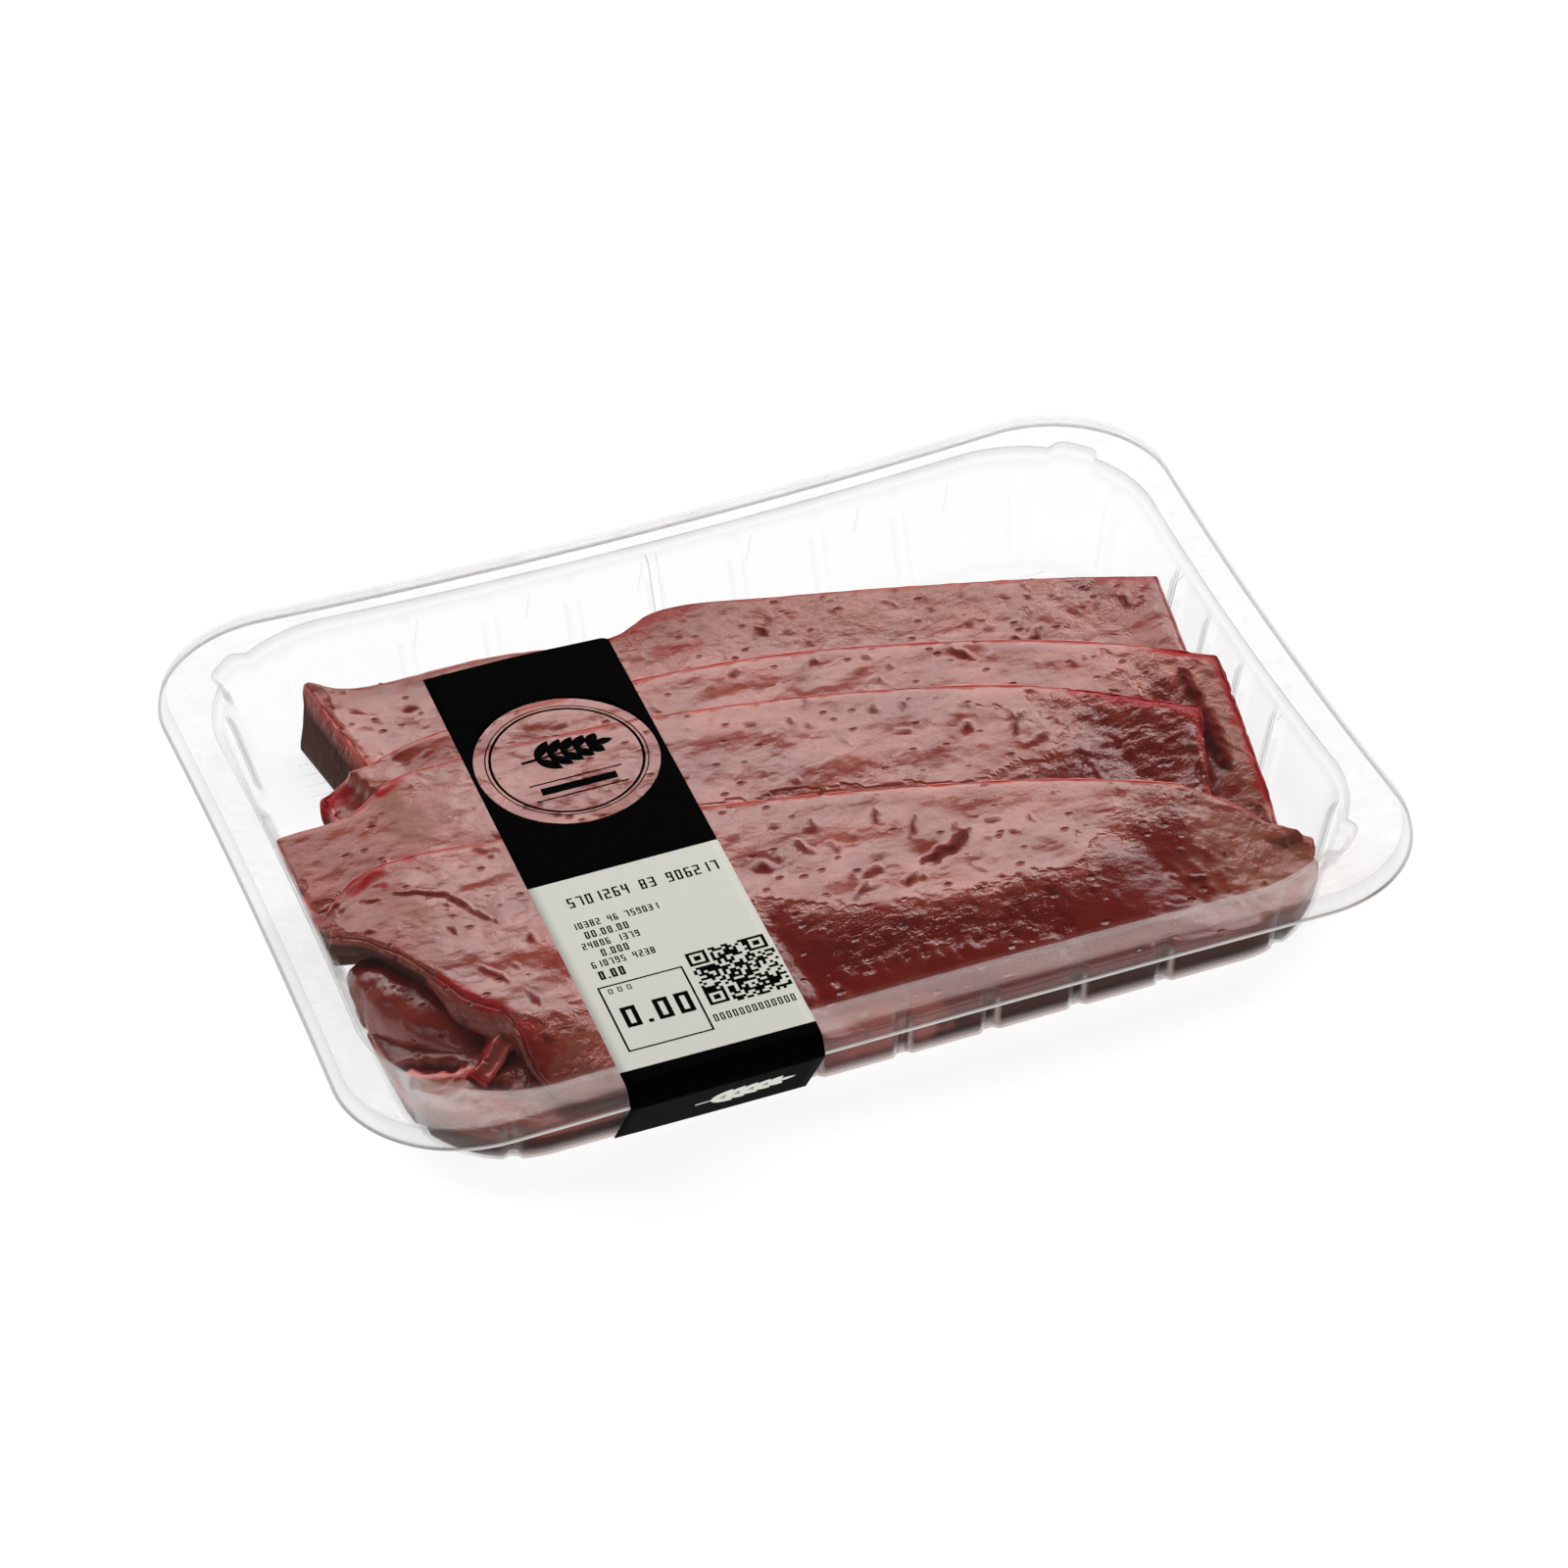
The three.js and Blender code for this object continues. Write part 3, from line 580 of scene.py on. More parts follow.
class Outline:
    """Stations once round the tray, and the point of each on any inset outline."""

    def __init__(self, side_step, corner_step):
        hx, hy = half_sizes() - FLANGE - MOUTH_RADIUS
        rows = []
        for k, half in enumerate((hx, hy, hx, hy)):
            long_side = k % 2 == 0
            fine = np.unique(np.round(np.concatenate([
                np.linspace(-half, half, int(2 * half / side_step) + 1)[1:-1],
                self._flute_marks(long_side),
            ]), 3)) if side_step < 3 else np.linspace(-half, half, int(2 * half / side_step) + 1)[1:-1]
            flutes = flute_of_side(fine, long_side)
            rows += [(k, at, -1.0, f, 0.0) for at, f in zip(fine, flutes)]
            angles = np.linspace(0.0, 90.0, int(90 / corner_step) + 1)
            lugs = lug_of_corner(angles)
            flutes = flute_of_corner(angles)
            rows += [(k, 0.0, a, f, g) for a, f, g in zip(angles, flutes, lugs)]
        table = np.array(rows)
        self.side = table[:, 0].astype(int)
        self.at = table[:, 1]
        self.angle = table[:, 2]
        self.flute = table[:, 3]
        self.lug = table[:, 4]
        self.count = len(rows)

    @staticmethod
    def _flute_marks(long_side):
        count, pitch = (LONG_FLUTES, LONG_PITCH) if long_side else (SHORT_FLUTES, SHORT_PITCH)
        places = (np.arange(count) - (count - 1) / 2) * pitch
        edges = np.linspace(-FLUTE_WIDTH / 2, FLUTE_WIDTH / 2, 9)
        return (places[:, None] + edges[None, :]).ravel()

    def points(self, inward, pull=1.0, outward=0.0):
        """Plan points for a given inset from the rim: by the rim's outline on the flange's outer half, and by
        the mouth's outline inside it. outward moves each station out."""
        on_rim = inward < FLANGE / 2
        e = inward if on_rim else inward - FLANGE
        half = half_sizes() - (0 if on_rim else FLANGE) - e
        radius = (RIM_RADIUS if on_rim else MOUTH_RADIUS) - e
        out = np.broadcast_to(outward, (self.count,))
        along = np.array([[1, 0], [0, 1], [-1, 0], [0, -1]])[self.side]
        away = np.array([[0, -1], [1, 0], [0, 1], [-1, 0]])[self.side]
        following = np.roll(np.array([[0, -1], [1, 0], [0, 1], [-1, 0]]), -1, axis=0)[self.side]
        long_side = self.side % 2 == 0
        across = np.where(long_side, half[1], half[0])
        run = np.where(long_side, half[0], half[1]) - radius
        slack = np.maximum(0, 1 - (self.at / run) ** 2)
        reach = across + out - pull * slack * np.where(long_side, LONG_BOW, SHORT_BOW)
        straight = along * self.at[:, None] + away * reach[:, None]
        c = np.cos(np.radians(self.angle))[:, None]
        s = np.sin(np.radians(self.angle))[:, None]
        centre = (away + following) * (half - radius)
        bend = centre + (radius + out)[:, None] * (away * c + following * s)
        return np.where((self.angle < 0)[:, None], straight, bend)


def rounded(levels, radius, steps=4):
    """Rounds the corners of a profile whose rows hold inset, height and any other values."""
    levels = np.asarray(levels, float)
    out = [levels[0]]
    for before, here, after in zip(levels, levels[1:], levels[2:]):
        first = np.linalg.norm((here - before)[:2])
        last = np.linalg.norm((after - here)[:2])
        a = here + (before - here) * min(0.45, radius / first)
        b = here + (after - here) * min(0.45, radius / last)
        for t in np.linspace(0, 1, steps):
            out.append((1 - t) ** 2 * a + 2 * t * (1 - t) * here + t * t * b)
    out.append(levels[-1])
    return np.array(out)


def filled(levels, longest):
    """Adds rows where two rows of a profile are far apart."""
    out = [levels[0]]
    for a, b in zip(levels, levels[1:]):
        parts = max(1, int(np.ceil(np.linalg.norm((b - a)[:2]) / longest)))
        out += [a + (b - a) * k / parts for k in range(1, parts + 1)]
    return np.array(out)


# ---------------------------------------------------------------------------------------------------------
# Tray
# ---------------------------------------------------------------------------------------------------------
# Inset from the rim, height below (or above, for the base) the flange, pull, flute, lug, seal and crease (how strongly
# a painted dark line marks the fold).
def tray_levels():
    top = depth()
    foot = FLANGE + WALL_LEAN
    rows = [
        (-LIP_FLARE, top - LIP_DROP, 1, 0, 0, 0, 1),
        (-LIP_FLARE + 0.08, top - LIP_DROP + 0.32, 1, 0, 0, 0, 0.9),
        (-LIP_FLARE + 0.12, top - LIP_DROP + 0.55, 1, 0, 0, 0.8, 0),
        (-0.15, top - 0.9, 1, 0, 0, 0.9, 0),
        (0.9, top, 1, 0, 0, 0.6, 0.1),
        (1.4, top, 1, 0, 0, 1, 0),
        (FLANGE - 0.4, top, 1, 0, 1, 1, 0),
        (FLANGE, top, 1, 0, 1, 1, 0.16),
        (FLANGE + 0.6 * LEDGE_WIDTH, top - 0.8 * LEDGE_DROP, 0.8, 0, 1, 0, 0),
        (FLANGE + LEDGE_WIDTH, top - LEDGE_DROP, 0.6, 0, 1, 0, 0.07),
        (FLANGE + LEDGE_WIDTH + 0.5, top - 5, 0.4, 1, 1, 0, 0),
        (FLANGE + LEDGE_WIDTH + 1.4, top - LUG_BOTTOM, 0.2, 1, 0, 0, 0),
        (foot - 0.25, BASE_ROUND + 1.2, 0, 1, 0, 0, 0),
    ]
    for k in range(3):
        turn = k * math.pi / 4
        round_in = (BASE_ROUND - SHEET) * (1 - math.cos(turn))
        height = BASE_ROUND - (BASE_ROUND - SHEET) * math.sin(turn)
        rows.append((foot + round_in, height, 0, 1 - k / 2.5, 0, 0, (0.7, 1, 0.7)[k]))
    return filled(rounded(rows, 0.9), 2.6)


STROKE_TOP = 11.6


def make_tray(material):
    outline = Outline(side_step=2.4, corner_step=2.5)
    levels = tray_levels()
    rings, seal, crease, gleam = [], [], [], []
    for inward, height, pull, flute, lug, sealed, creased in levels:
        outward = LUG_DEPTH * outline.lug * lug - FLUTE_DEPTH * outline.flute * flute
        plan = outline.points(inward, pull, outward)
        rings.append(np.column_stack([plan, height - sag(plan[:, 0], plan[:, 1]) * pull]))
        # Painted lines: dark on the flute flanks and at the folds, and pale round the front panels, where light and
        # the dark room would show bent through the sheet.
        steep = outline.flute * (1 - outline.flute) * 4 * flute
        front = smoothstep((-plan[:, 1] - 66.0) / 8.0) * (1 - smoothstep((np.abs(plan[:, 0]) - 92.0) / 12.0))
        strokes = steep * np.where(front > 0.5, height < STROKE_TOP, 0.06 * (height < depth() - 9))
        bottom = creased * (1.0 if height > STROKE_TOP else front)
        lines = np.maximum(bottom, strokes)
        crease.append(lines)
        seal.append(np.maximum(sealed, 0.9 * lines * front * (height < STROKE_TOP)))
        # Painted highlight along the lower edge of the front lip.
        on_lip = inward < 0 and height < depth() - LIP_DROP + 0.4
        gleam.append(front * on_lip)
    last = rings[-1]
    for scale in (0.985, 0.93, 0.8, 0.6, 0.35, 0.12):
        rings.append(np.column_stack([last[:, :2] * scale, last[:, 2]]))
        for values in (seal, crease, gleam):
            values.append(np.zeros(outline.count))
    rings = np.array(rings)
    points = rings.reshape(-1, 3)
    faces = [list(f) for f in grid_faces(len(rings), outline.count, closed=True)]
    centre = len(points)
    points = np.vstack([points, [0.0, 0.0, last[0, 2]]])
    start = (len(rings) - 1) * outline.count
    faces += [[start + i, start + (i + 1) % outline.count, centre] for i in range(outline.count)]
    everything = {"seal": seal, "crease": crease, "gleam": gleam}
    weights = {key: np.append(np.concatenate(values), 0) for key, values in everything.items()}
    points, faces, weights = thicken(points, faces, sizes().sheet / MM, weights)
    points[:, 2] = np.maximum(points[:, 2], 0.0)
    return make_object("clear_tray", points, faces, material, weights=weights)


# ---------------------------------------------------------------------------------------------------------
# Film
# ---------------------------------------------------------------------------------------------------------
def make_film(material):
    outline = Outline(side_step=4.0, corner_step=5.0)
    rows = [(0.9, 1.0, 0.7), (2.2, 1.0, 1.0), (4.0, 1.0, 0.9), (6.0, 1.0, 1.0), (FLANGE - 0.6, 1.0, 1.0), (FLANGE, 1.0, 0.25)]
    rows += [(FLANGE, scale, 0.0) for scale in (0.985, 0.9, 0.75, 0.55, 0.35, 0.15)]
    rings, seal = [], []
    lift = GAP + sizes().film / MM
    for inward, scale, sealed in rows:
        plan = outline.points(inward) * scale
        rings.append(np.column_stack([plan, depth() - sag(plan[:, 0], plan[:, 1]) + lift]))
        seal.append(np.full(outline.count, sealed))
    rings = np.array(rings)
    points = rings.reshape(-1, 3)
    faces = [list(f) for f in grid_faces(len(rings), outline.count, closed=True)]
    centre = len(points)
    points = np.vstack([points, [0.0, 0.0, depth() - sag(0.0, 0.0) + lift]])
    start = (len(rings) - 1) * outline.count
    faces += [[start + i, start + (i + 1) % outline.count, centre] for i in range(outline.count)]
    points, faces, weights = thicken(points, faces, sizes().film / MM, {"seal": np.append(np.concatenate(seal), 0)})
    return make_object("sealed_film", points, faces, material, weights=weights)


# ---------------------------------------------------------------------------------------------------------
# Label band
# ---------------------------------------------------------------------------------------------------------
LABEL_CENTRE = -40.4
LABEL_SLANT = 0.0135
LABEL_BACK = 50.5
LABEL_SKEW = 0.06
FILM_EDGE_LIFT = GAP + 0.2 + GAP
WINDOW_CENTRE = (-0.2, 37.3)
WINDOW_HALF = (19.3, 21.0)
WHITE_FROM = 74.0
WHITE_TO = 134.1


class Band:
    """The label's surface: across runs from side to side and down runs from its back end over the rim."""

    def __init__(self):
        self.paths = {}

    def path(self, x):
        key = round(float(x), 3)
        if key not in self.paths:
            self.paths[key] = self._make_path(key)
        return self.paths[key]

    @staticmethod
    def _make_path(x):
        hx, hy = half_sizes()
        slack = max(0.0, 1 - (x / (hx - RIM_RADIUS)) ** 2)
        rim = -(hy - LONG_BOW * slack)
        top = depth() - sag(x, rim)
        lift = GAP + 0.2 + GAP + sizes().paper / MM
        flange_edge = rim + FLANGE
        across_film = [(y, depth() - float(sag(x, y)) + lift) for y in np.linspace(LABEL_BACK, flange_edge, 40)]
        bends = [(flange_edge, across_film[-1][1]), (rim + 0.4, top + lift), (rim - 0.5, top - 0.3),
                 (rim - LIP_FLARE - 0.75, top - LIP_DROP + 0.4)]
        round_y = -(hy - FLANGE - WALL_LEAN + SHEET - BASE_ROUND)
        reach = BASE_ROUND + GAP + 0.1
        for tilt in (54, 42):
            bends.append((round_y - reach * math.sin(math.radians(tilt)), BASE_ROUND - reach * math.cos(math.radians(tilt))))
        turned = rounded(bends, 0.8, 5)
        points = np.vstack([across_film[:-1], filled(turned, 3.0)])
        run = np.concatenate([[0.0], np.cumsum(np.linalg.norm(np.diff(points, axis=0), axis=1))])
        return run, points

    def point(self, across, down, lift=0.0):
        """The point in space, lifted off the band's upper face."""
        x = LABEL_CENTRE + across
        run, points = self.path(x)
        back = -LABEL_SKEW * across
        down = min(max(0.0, down - back * (1 - min(1.0, down / 60.0))), run[-1] - 0.1)
        y = np.interp(down, run, points[:, 0])
        z = np.interp(down, run, points[:, 1])
        ahead_y = np.interp(down + 0.4, run, points[:, 0]) - np.interp(down - 0.4, run, points[:, 0])
        ahead_z = np.interp(down + 0.4, run, points[:, 1]) - np.interp(down - 0.4, run, points[:, 1])
        size = math.hypot(ahead_y, ahead_z)
        return (x + LABEL_SLANT * y, y + ahead_z / size * lift, z - ahead_y / size * lift)

    def end(self):
        half = sizes().label_width / MM / 2
        return min(self.path(LABEL_CENTRE + across)[0][-1] for across in (-half, 0.0, half)) - 0.1

    def surface(self, flat, lift=0.0):
        return np.array([self.point(u, v, lift) for u, v in flat])


def upside_down(points, faces):
    first = faces[len(faces) // 4]
    normal = np.cross(points[first[2]] - points[first[0]], points[first[3]] - points[first[1]])
    return normal[2] < 0


LABEL_CORNER = 1.6
WINDOW_ROWS = (12.0, 62.5)
COLUMNS = 21


class Sheet:
    """Quads over the band's flat coordinates. Points that coincide are shared, so that stretches join."""

    def __init__(self):
        self.index = {}
        self.flat = []
        self.faces = []

    def point(self, u, v):
        key = (round(u, 4), round(v, 4))
        if key not in self.index:
            self.index[key] = len(self.flat)
            self.flat.append(key)
        return self.index[key]

    def strip(self, rows):
        """A grid between rows of flat points."""
        for a, b in zip(rows, rows[1:]):
            for k in range(len(a) - 1):
                corners = [a[k], a[k + 1], b[k + 1], b[k]]
                (p, q), (r, t) = np.subtract(corners[2], corners[0]), np.subtract(corners[3], corners[1])
                same_way = corners if p * t - q * r > 0 else corners[::-1]
                self.faces.append([self.point(*corner) for corner in same_way])


def label_sheet(band):
    """The band's flat layout: plain rows, and round the oval window rings from the oval to the rows."""
    half = sizes().label_width / MM / 2
    sheet = Sheet()

    def row(down):
        cut = LABEL_CORNER - math.sqrt(LABEL_CORNER**2 - max(0.0, LABEL_CORNER - down) ** 2)
        return [(u, down) for u in np.linspace(-half + cut, half - cut, COLUMNS)]

    top, bottom = WINDOW_ROWS
    above = [*np.linspace(0, LABEL_CORNER, 7), *np.linspace(LABEL_CORNER, top, 6)[1:]]
    below = [*np.linspace(bottom, WHITE_FROM, 6), *np.linspace(WHITE_FROM, WHITE_TO, 26)[1:]]
    below += list(np.linspace(WHITE_TO, band.end(), 52)[1:])
    sheet.strip([row(v) for v in above])
    sheet.strip([row(v) for v in below])
    sides = np.linspace(top, bottom, COLUMNS + 4)
    border = row(top) + [(half, v) for v in sides[1:-1]] + row(bottom)[::-1] + [(-half, v) for v in sides[-2:0:-1]]
    border.append(border[0])
    rings = []
    for t in np.linspace(0, 1, 8):
        ring = []
        for u, v in border:
            angle = math.atan2((v - WINDOW_CENTRE[1]) / WINDOW_HALF[1], (u - WINDOW_CENTRE[0]) / WINDOW_HALF[0])
            oval = (WINDOW_CENTRE[0] + WINDOW_HALF[0] * math.cos(angle), WINDOW_CENTRE[1] + WINDOW_HALF[1] * math.sin(angle))
            ring.append((oval[0] + (u - oval[0]) * t, oval[1] + (v - oval[1]) * t))
        rings.append(ring)
    sheet.strip(rings)
    return sheet


def make_band(band, black, white):
    """The printed band, one closed sheet of paper with the window cut in it."""
    sheet = label_sheet(band)
    points = band.surface(sheet.flat)
    faces = sheet.faces
    normals = vertex_normals(points, faces)
    if normals[:, 2].sum() < 0:
        faces = [f[::-1] for f in faces]
    count = len(points)
    points, faces, _ = thicken(points, faces, sizes().paper / MM)
    down = np.array([v for _, v in sheet.flat])
    middles = np.array([down[[i % count for i in f]].mean() for f in faces])
    white_faces = (middles > WHITE_FROM) & (middles < WHITE_TO)
    return make_object("label_band", points, faces, [black, white], finish=white_faces)


class Print:
    """Collects flat printed shapes, given across and down on the band, into one thin mesh."""

    def __init__(self, band, lift=0.05):
        self.band = band
        self.lift = lift
        self.points = []
        self.faces = []

    def polygon(self, outline):
        start = len(self.points)
        self.points += [self.band.point(u, v, self.lift) for u, v in outline]
        self.faces.append(list(range(start, start + len(outline))))

    def bar(self, u, v, width, height):
        """A bar in short lengths, so that it follows the band."""
        across, down = max(1, math.ceil(width / 3.0)), max(1, math.ceil(height / 3.0))
        for i in range(across):
            for j in range(down):
                a, b = u + width * i / across, u + width * (i + 1) / across
                c, d = v + height * j / down, v + height * (j + 1) / down
                self.polygon([(a, c), (b, c), (b, d), (a, d)])

    def ring(self, centre, half, line, parts=96):
        start = len(self.points)
        for k in range(parts):
            c, s = math.cos(2 * math.pi * k / parts), math.sin(2 * math.pi * k / parts)
            for grow in (0.0, line):
                self.points.append(self.band.point(centre[0] + (half[0] - grow) * c, centre[1] + (half[1] - grow) * s,
                                                   self.lift))
        for k in range(parts):
            n = (k + 1) % parts
            self.faces.append([start + 2 * k, start + 2 * n, start + 2 * n + 1, start + 2 * k + 1])

    def frame(self, u, v, width, height, line):
        self.bar(u, v, width, line)
        self.bar(u, v + height - line, width, line)
        self.bar(u, v + line, line, height - 2 * line)
        self.bar(u + width - line, v + line, line, height - 2 * line)

    def numeral(self, digit, u, v, width, height, stroke):
        """A plain numeral of straight strokes."""
        middle = v + (height - stroke) / 2
        right = u + width - stroke
        half = (height + stroke) / 2
        strokes = {
            "a": (u, v, width, stroke), "g": (u, middle, width, stroke), "d": (u, v + height - stroke, width, stroke),
            "f": (u, v, stroke, half), "b": (right, v, stroke, half),
            "e": (u, middle, stroke, half), "c": (right, middle, stroke, half),
        }
        shown = {"0": "abcdef", "1": "bc", "2": "abged", "3": "abgcd", "4": "fgbc", "5": "afgcd", "6": "afgedc",
                 "7": "abc", "8": "abcdefg", "9": "abfgcd", ".": ""}[digit]
        for key in shown:
            self.bar(*strokes[key])
        if digit == ".":
            self.bar(u, v + height - stroke, stroke, stroke)

    def numerals(self, text, u, v, height, stroke, pitch=0.72, width=0.5):
        """A run of numerals. pitch and width are shares of the height."""
        for digit in text:
            if digit != " ":
                self.numeral(digit, u, v, height * width, height, stroke)
            u += height * (pitch * 0.5 if digit == "." else pitch)

    def make(self, name, material):
        points = np.array(self.points)
        made = make_object(name, points, self.faces, material, smooth=False)
        return made


def sprig(printer, u, v, size, turn=0.0):
    """A plain ornament: a stem with paired pointed leaves."""

    def placed(a, b):
        c, s = math.cos(turn), math.sin(turn)
        return (u + (a * c - b * s) * size, v + (a * s + b * c) * size)

    def leaf(root, angle, long, wide):
        outline = []
        for k in range(12):
            t = k / 12 * 2
            along = t if t <= 1 else 2 - t
            side = (1 if t <= 1 else -1) * wide * math.sin(math.pi * along) ** 0.8
            a, b = along * long, side
            c, s = math.cos(angle), math.sin(angle)
            outline.append(placed(root[0] + a * c - b * s, root[1] + a * s + b * c))
        printer.polygon(outline)

    printer.polygon([placed(-0.72, 0.04), placed(0.72, 0.015), placed(0.72, -0.015), placed(-0.72, -0.04)])
    for k in range(5):
        root = (-0.45 + 0.25 * k, 0.0)
        long = 0.58 - 0.05 * k
        leaf(root, 0.85, long, 0.115)
        leaf(root, -0.85, long, 0.115)
    leaf((0.66, 0.0), 0.0, 0.38, 0.095)


def make_label(black, white, clear):
    band = Band()
    ink = Print(band)
    window_print(ink)
    field_print(ink)
    pale = Print(band)
    sprig(pale, 3.5, WHITE_TO + 20.5, 12.0, -0.12)
    return [
        make_band(band, black, white),
        ink.make("label_print_dark", black),
        pale.make("label_print_pale", white),
        window_pane(band, clear),
    ]


def window_pane(band, clear):
    """The clear pane in the label's window."""
    rings, spokes = 5, 64
    flat = []
    for r in range(1, rings + 1):
        for k in range(spokes):
            angle = 2 * math.pi * k / spokes
            flat.append((WINDOW_CENTRE[0] + (WINDOW_HALF[0] - 0.05) * r / rings * math.cos(angle),
                         WINDOW_CENTRE[1] + (WINDOW_HALF[1] - 0.05) * r / rings * math.sin(angle)))
    points = band.surface(flat, -0.08)
    faces = [list(f) for f in grid_faces(rings, spokes, closed=True)]
    faces.append(list(range(spokes))[::-1])
    if upside_down(points, np.array([f for f in faces if len(f) == 4])):
        faces = [f[::-1] for f in faces]
    points, faces, _ = thicken(points, faces[:-1] + fan(faces[-1]), 0.08)
    return make_object("label_window_pane", points, faces, clear)


def fan(polygon):
    return [[polygon[0], polygon[k], polygon[k + 1]] for k in range(1, len(polygon) - 1)]


def window_print(ink):
    u, v = WINDOW_CENTRE
    ink.ring(WINDOW_CENTRE, (17.0, 18.3), 0.30)
    ink.ring(WINDOW_CENTRE, (16.2, 17.5), 0.62)
    sprig(ink, u - 1.0, v - 2.5, 11.5, -0.06)
    ink.bar(u - 10.0, v + 5.6, 20.0, 0.45)
    ink.bar(u - 8.2, v + 7.3, 16.4, 2.3)
    ink.bar(u - 10.0, v + 10.9, 20.0, 0.45)


# Numerals on the white field: text, place across, place down from its back edge, height and stroke.
FIELD_LINES = (
    ("5701264 83 906217", -14.2, 6.0, 3.1, 0.42),
    ("10382 46 759031", -15.6, 14.0, 2.0, 0.30),
    ("00.00.00", -14.0, 17.2, 2.2, 0.34),
    ("24806 1379", -15.6, 20.5, 2.0, 0.30),
    ("0.000", -12.6, 23.5, 2.2, 0.34),
    ("610795 4238", -15.6, 26.7, 2.0, 0.30),
    ("0.00", -15.2, 29.9, 2.7, 0.48),
)


def field_print(ink):
    """Plain stand-ins for the label's print: numerals, a boxed numeral and a block code of random squares."""
    for text, u, down, height, stroke in FIELD_LINES:
        ink.numerals(text, u, WHITE_FROM + down, height, stroke, 0.62, 0.42)
    ink.frame(-16.8, WHITE_FROM + 34.6, 17.9, 20.4, 0.42)
    ink.numerals("000", -15.0, WHITE_FROM + 35.8, 1.5, 0.24, 1.3, 0.6)
    ink.numerals("0.00", -14.6, WHITE_FROM + 42.0, 6.2, 1.0, 0.72, 0.5)
    code_print(ink, 2.6, WHITE_FROM + 31.5)
    ink.numerals("0000000000000", 2.0, WHITE_FROM + 50.8, 2.1, 0.3, 0.64, 0.42)


def code_print(ink, u, v, cells=25, cell=0.69):
    """A block code: random squares, with a target in three of its corners."""
    draw = np.random.default_rng(5)
    dark = draw.random((cells, cells)) < 0.5
    for row, column in ((0, 0), (0, cells - 7), (cells - 7, 0)):
        dark[row : row + 7, column : column + 7] = False
        ink.frame(u + column * cell, v + row * cell, 6 * cell, 6 * cell, cell)
        ink.bar(u + (column + 2) * cell, v + (row + 2) * cell, 2 * cell, 2 * cell)
    for row in range(cells):
        column = 0
        while column < cells:
            if dark[row, column]:
                run = 1
                while column + run < cells and dark[row, column + run]:
                    run += 1
                ink.bar(u + column * cell, v + row * cell, run * cell, cell)
                column += run
            column += 1


# ---------------------------------------------------------------------------------------------------------
# Liver
# ---------------------------------------------------------------------------------------------------------
FLOOR = SHEET + 0.35
CELL = 1.0


class Pile:
    """The height of what already lies in the tray, on a square grid."""

    def __init__(self):
        self.low = np.array([-115.0, -92.0])
        self.height = np.full((231, 185), FLOOR)

    def add(self, points):
        cell = np.round((points[:, :2] - self.low) / CELL).astype(int)
        cell = np.clip(cell, 0, np.array(self.height.shape) - 1)
        np.maximum.at(self.height, (cell[:, 0], cell[:, 1]), points[:, 2])

    def bed(self, reach):
        """The pile grown sideways by a reach and smoothed, which is what a slice can lie on."""
        grown = self.height.copy()
        n = int(reach / CELL)
        for i in range(-n, n + 1):
            for j in range(-n, n + 1):
                if i * i + j * j <= n * n:
                    grown = np.maximum(grown, np.roll(self.height, (i, j), (0, 1)))
        for _ in range(3):
            soft = sum(np.roll(grown, s, a) for a in (0, 1) for s in (-1, 1)) / 4
            grown = np.maximum(grown, 0.5 * grown + 0.5 * soft)
        return grown

    def sample(self, grid, points):
        place = (points[:, :2] - self.low) / CELL
        i = np.clip(np.floor(place).astype(int), 0, np.array(grid.shape) - 2)
        f = np.clip(place - i, 0, 1)
        a = grid[i[:, 0], i[:, 1]] * (1 - f[:, 0]) + grid[i[:, 0] + 1, i[:, 1]] * f[:, 0]
        b = grid[i[:, 0], i[:, 1] + 1] * (1 - f[:, 0]) + grid[i[:, 0] + 1, i[:, 1] + 1] * f[:, 0]
        return a * (1 - f[:, 1]) + b * f[:, 1]


def inside_tray(points, clearance=0.35, band=1.2):
    """Keeps points clear of the tray's inner wall and its flutes, squeezing them together near it."""
    points = points.copy()
    hx, hy = half_sizes() - FLANGE
    wall_top = depth() - LEDGE_DROP
    rise = np.clip((wall_top - points[:, 2]) / (wall_top - BASE_ROUND), 0, 1)
    rounding = BASE_ROUND - SHEET
    below = np.clip(BASE_ROUND - points[:, 2], 0, rounding)
    foot = rounding - np.sqrt(rounding**2 - below**2)
    corner = np.array([hx, hy]) - MOUTH_RADIUS
    beyond = np.maximum(0, np.abs(points[:, :2]) - corner)
    distance = np.hypot(beyond[:, 0], beyond[:, 1])
    angle = np.degrees(np.arctan2(beyond[:, 1], np.maximum(beyond[:, 0], 1e-9)))
    on_long = (beyond[:, 0] <= 0) & (beyond[:, 1] > 0)
    on_short = (beyond[:, 1] <= 0) & (beyond[:, 0] > 0)
    flute = np.where(on_long, flute_of_side(points[:, 0], True),
                     np.where(on_short, flute_of_side(points[:, 1], False), flute_of_corner(angle)))
    inset = LEDGE_WIDTH + (WALL_LEAN - LEDGE_WIDTH) * rise + foot + FLUTE_DEPTH * flute + clearance
    limit = MOUTH_RADIUS - inset
    near = distance > limit - band
    squeezed = limit - band * np.exp((limit - band - distance) / band)
    factor = np.where(near, squeezed / np.maximum(distance, 1e-9), 1.0)[:, None]
    core = np.minimum(np.abs(points[:, :2]), corner)
    points[:, :2] = np.where(near[:, None], np.sign(points[:, :2]) * (core + beyond * factor), points[:, :2])
    return points


def segment_distance(points, a, b):
    a, b = np.asarray(a, float), np.asarray(b, float)
    along = b - a
    size = max(1e-9, float(along @ along))
    t = np.clip(((points - a) @ along) / size, 0, 1)
    return np.linalg.norm(points - a - t[:, None] * along, axis=1)


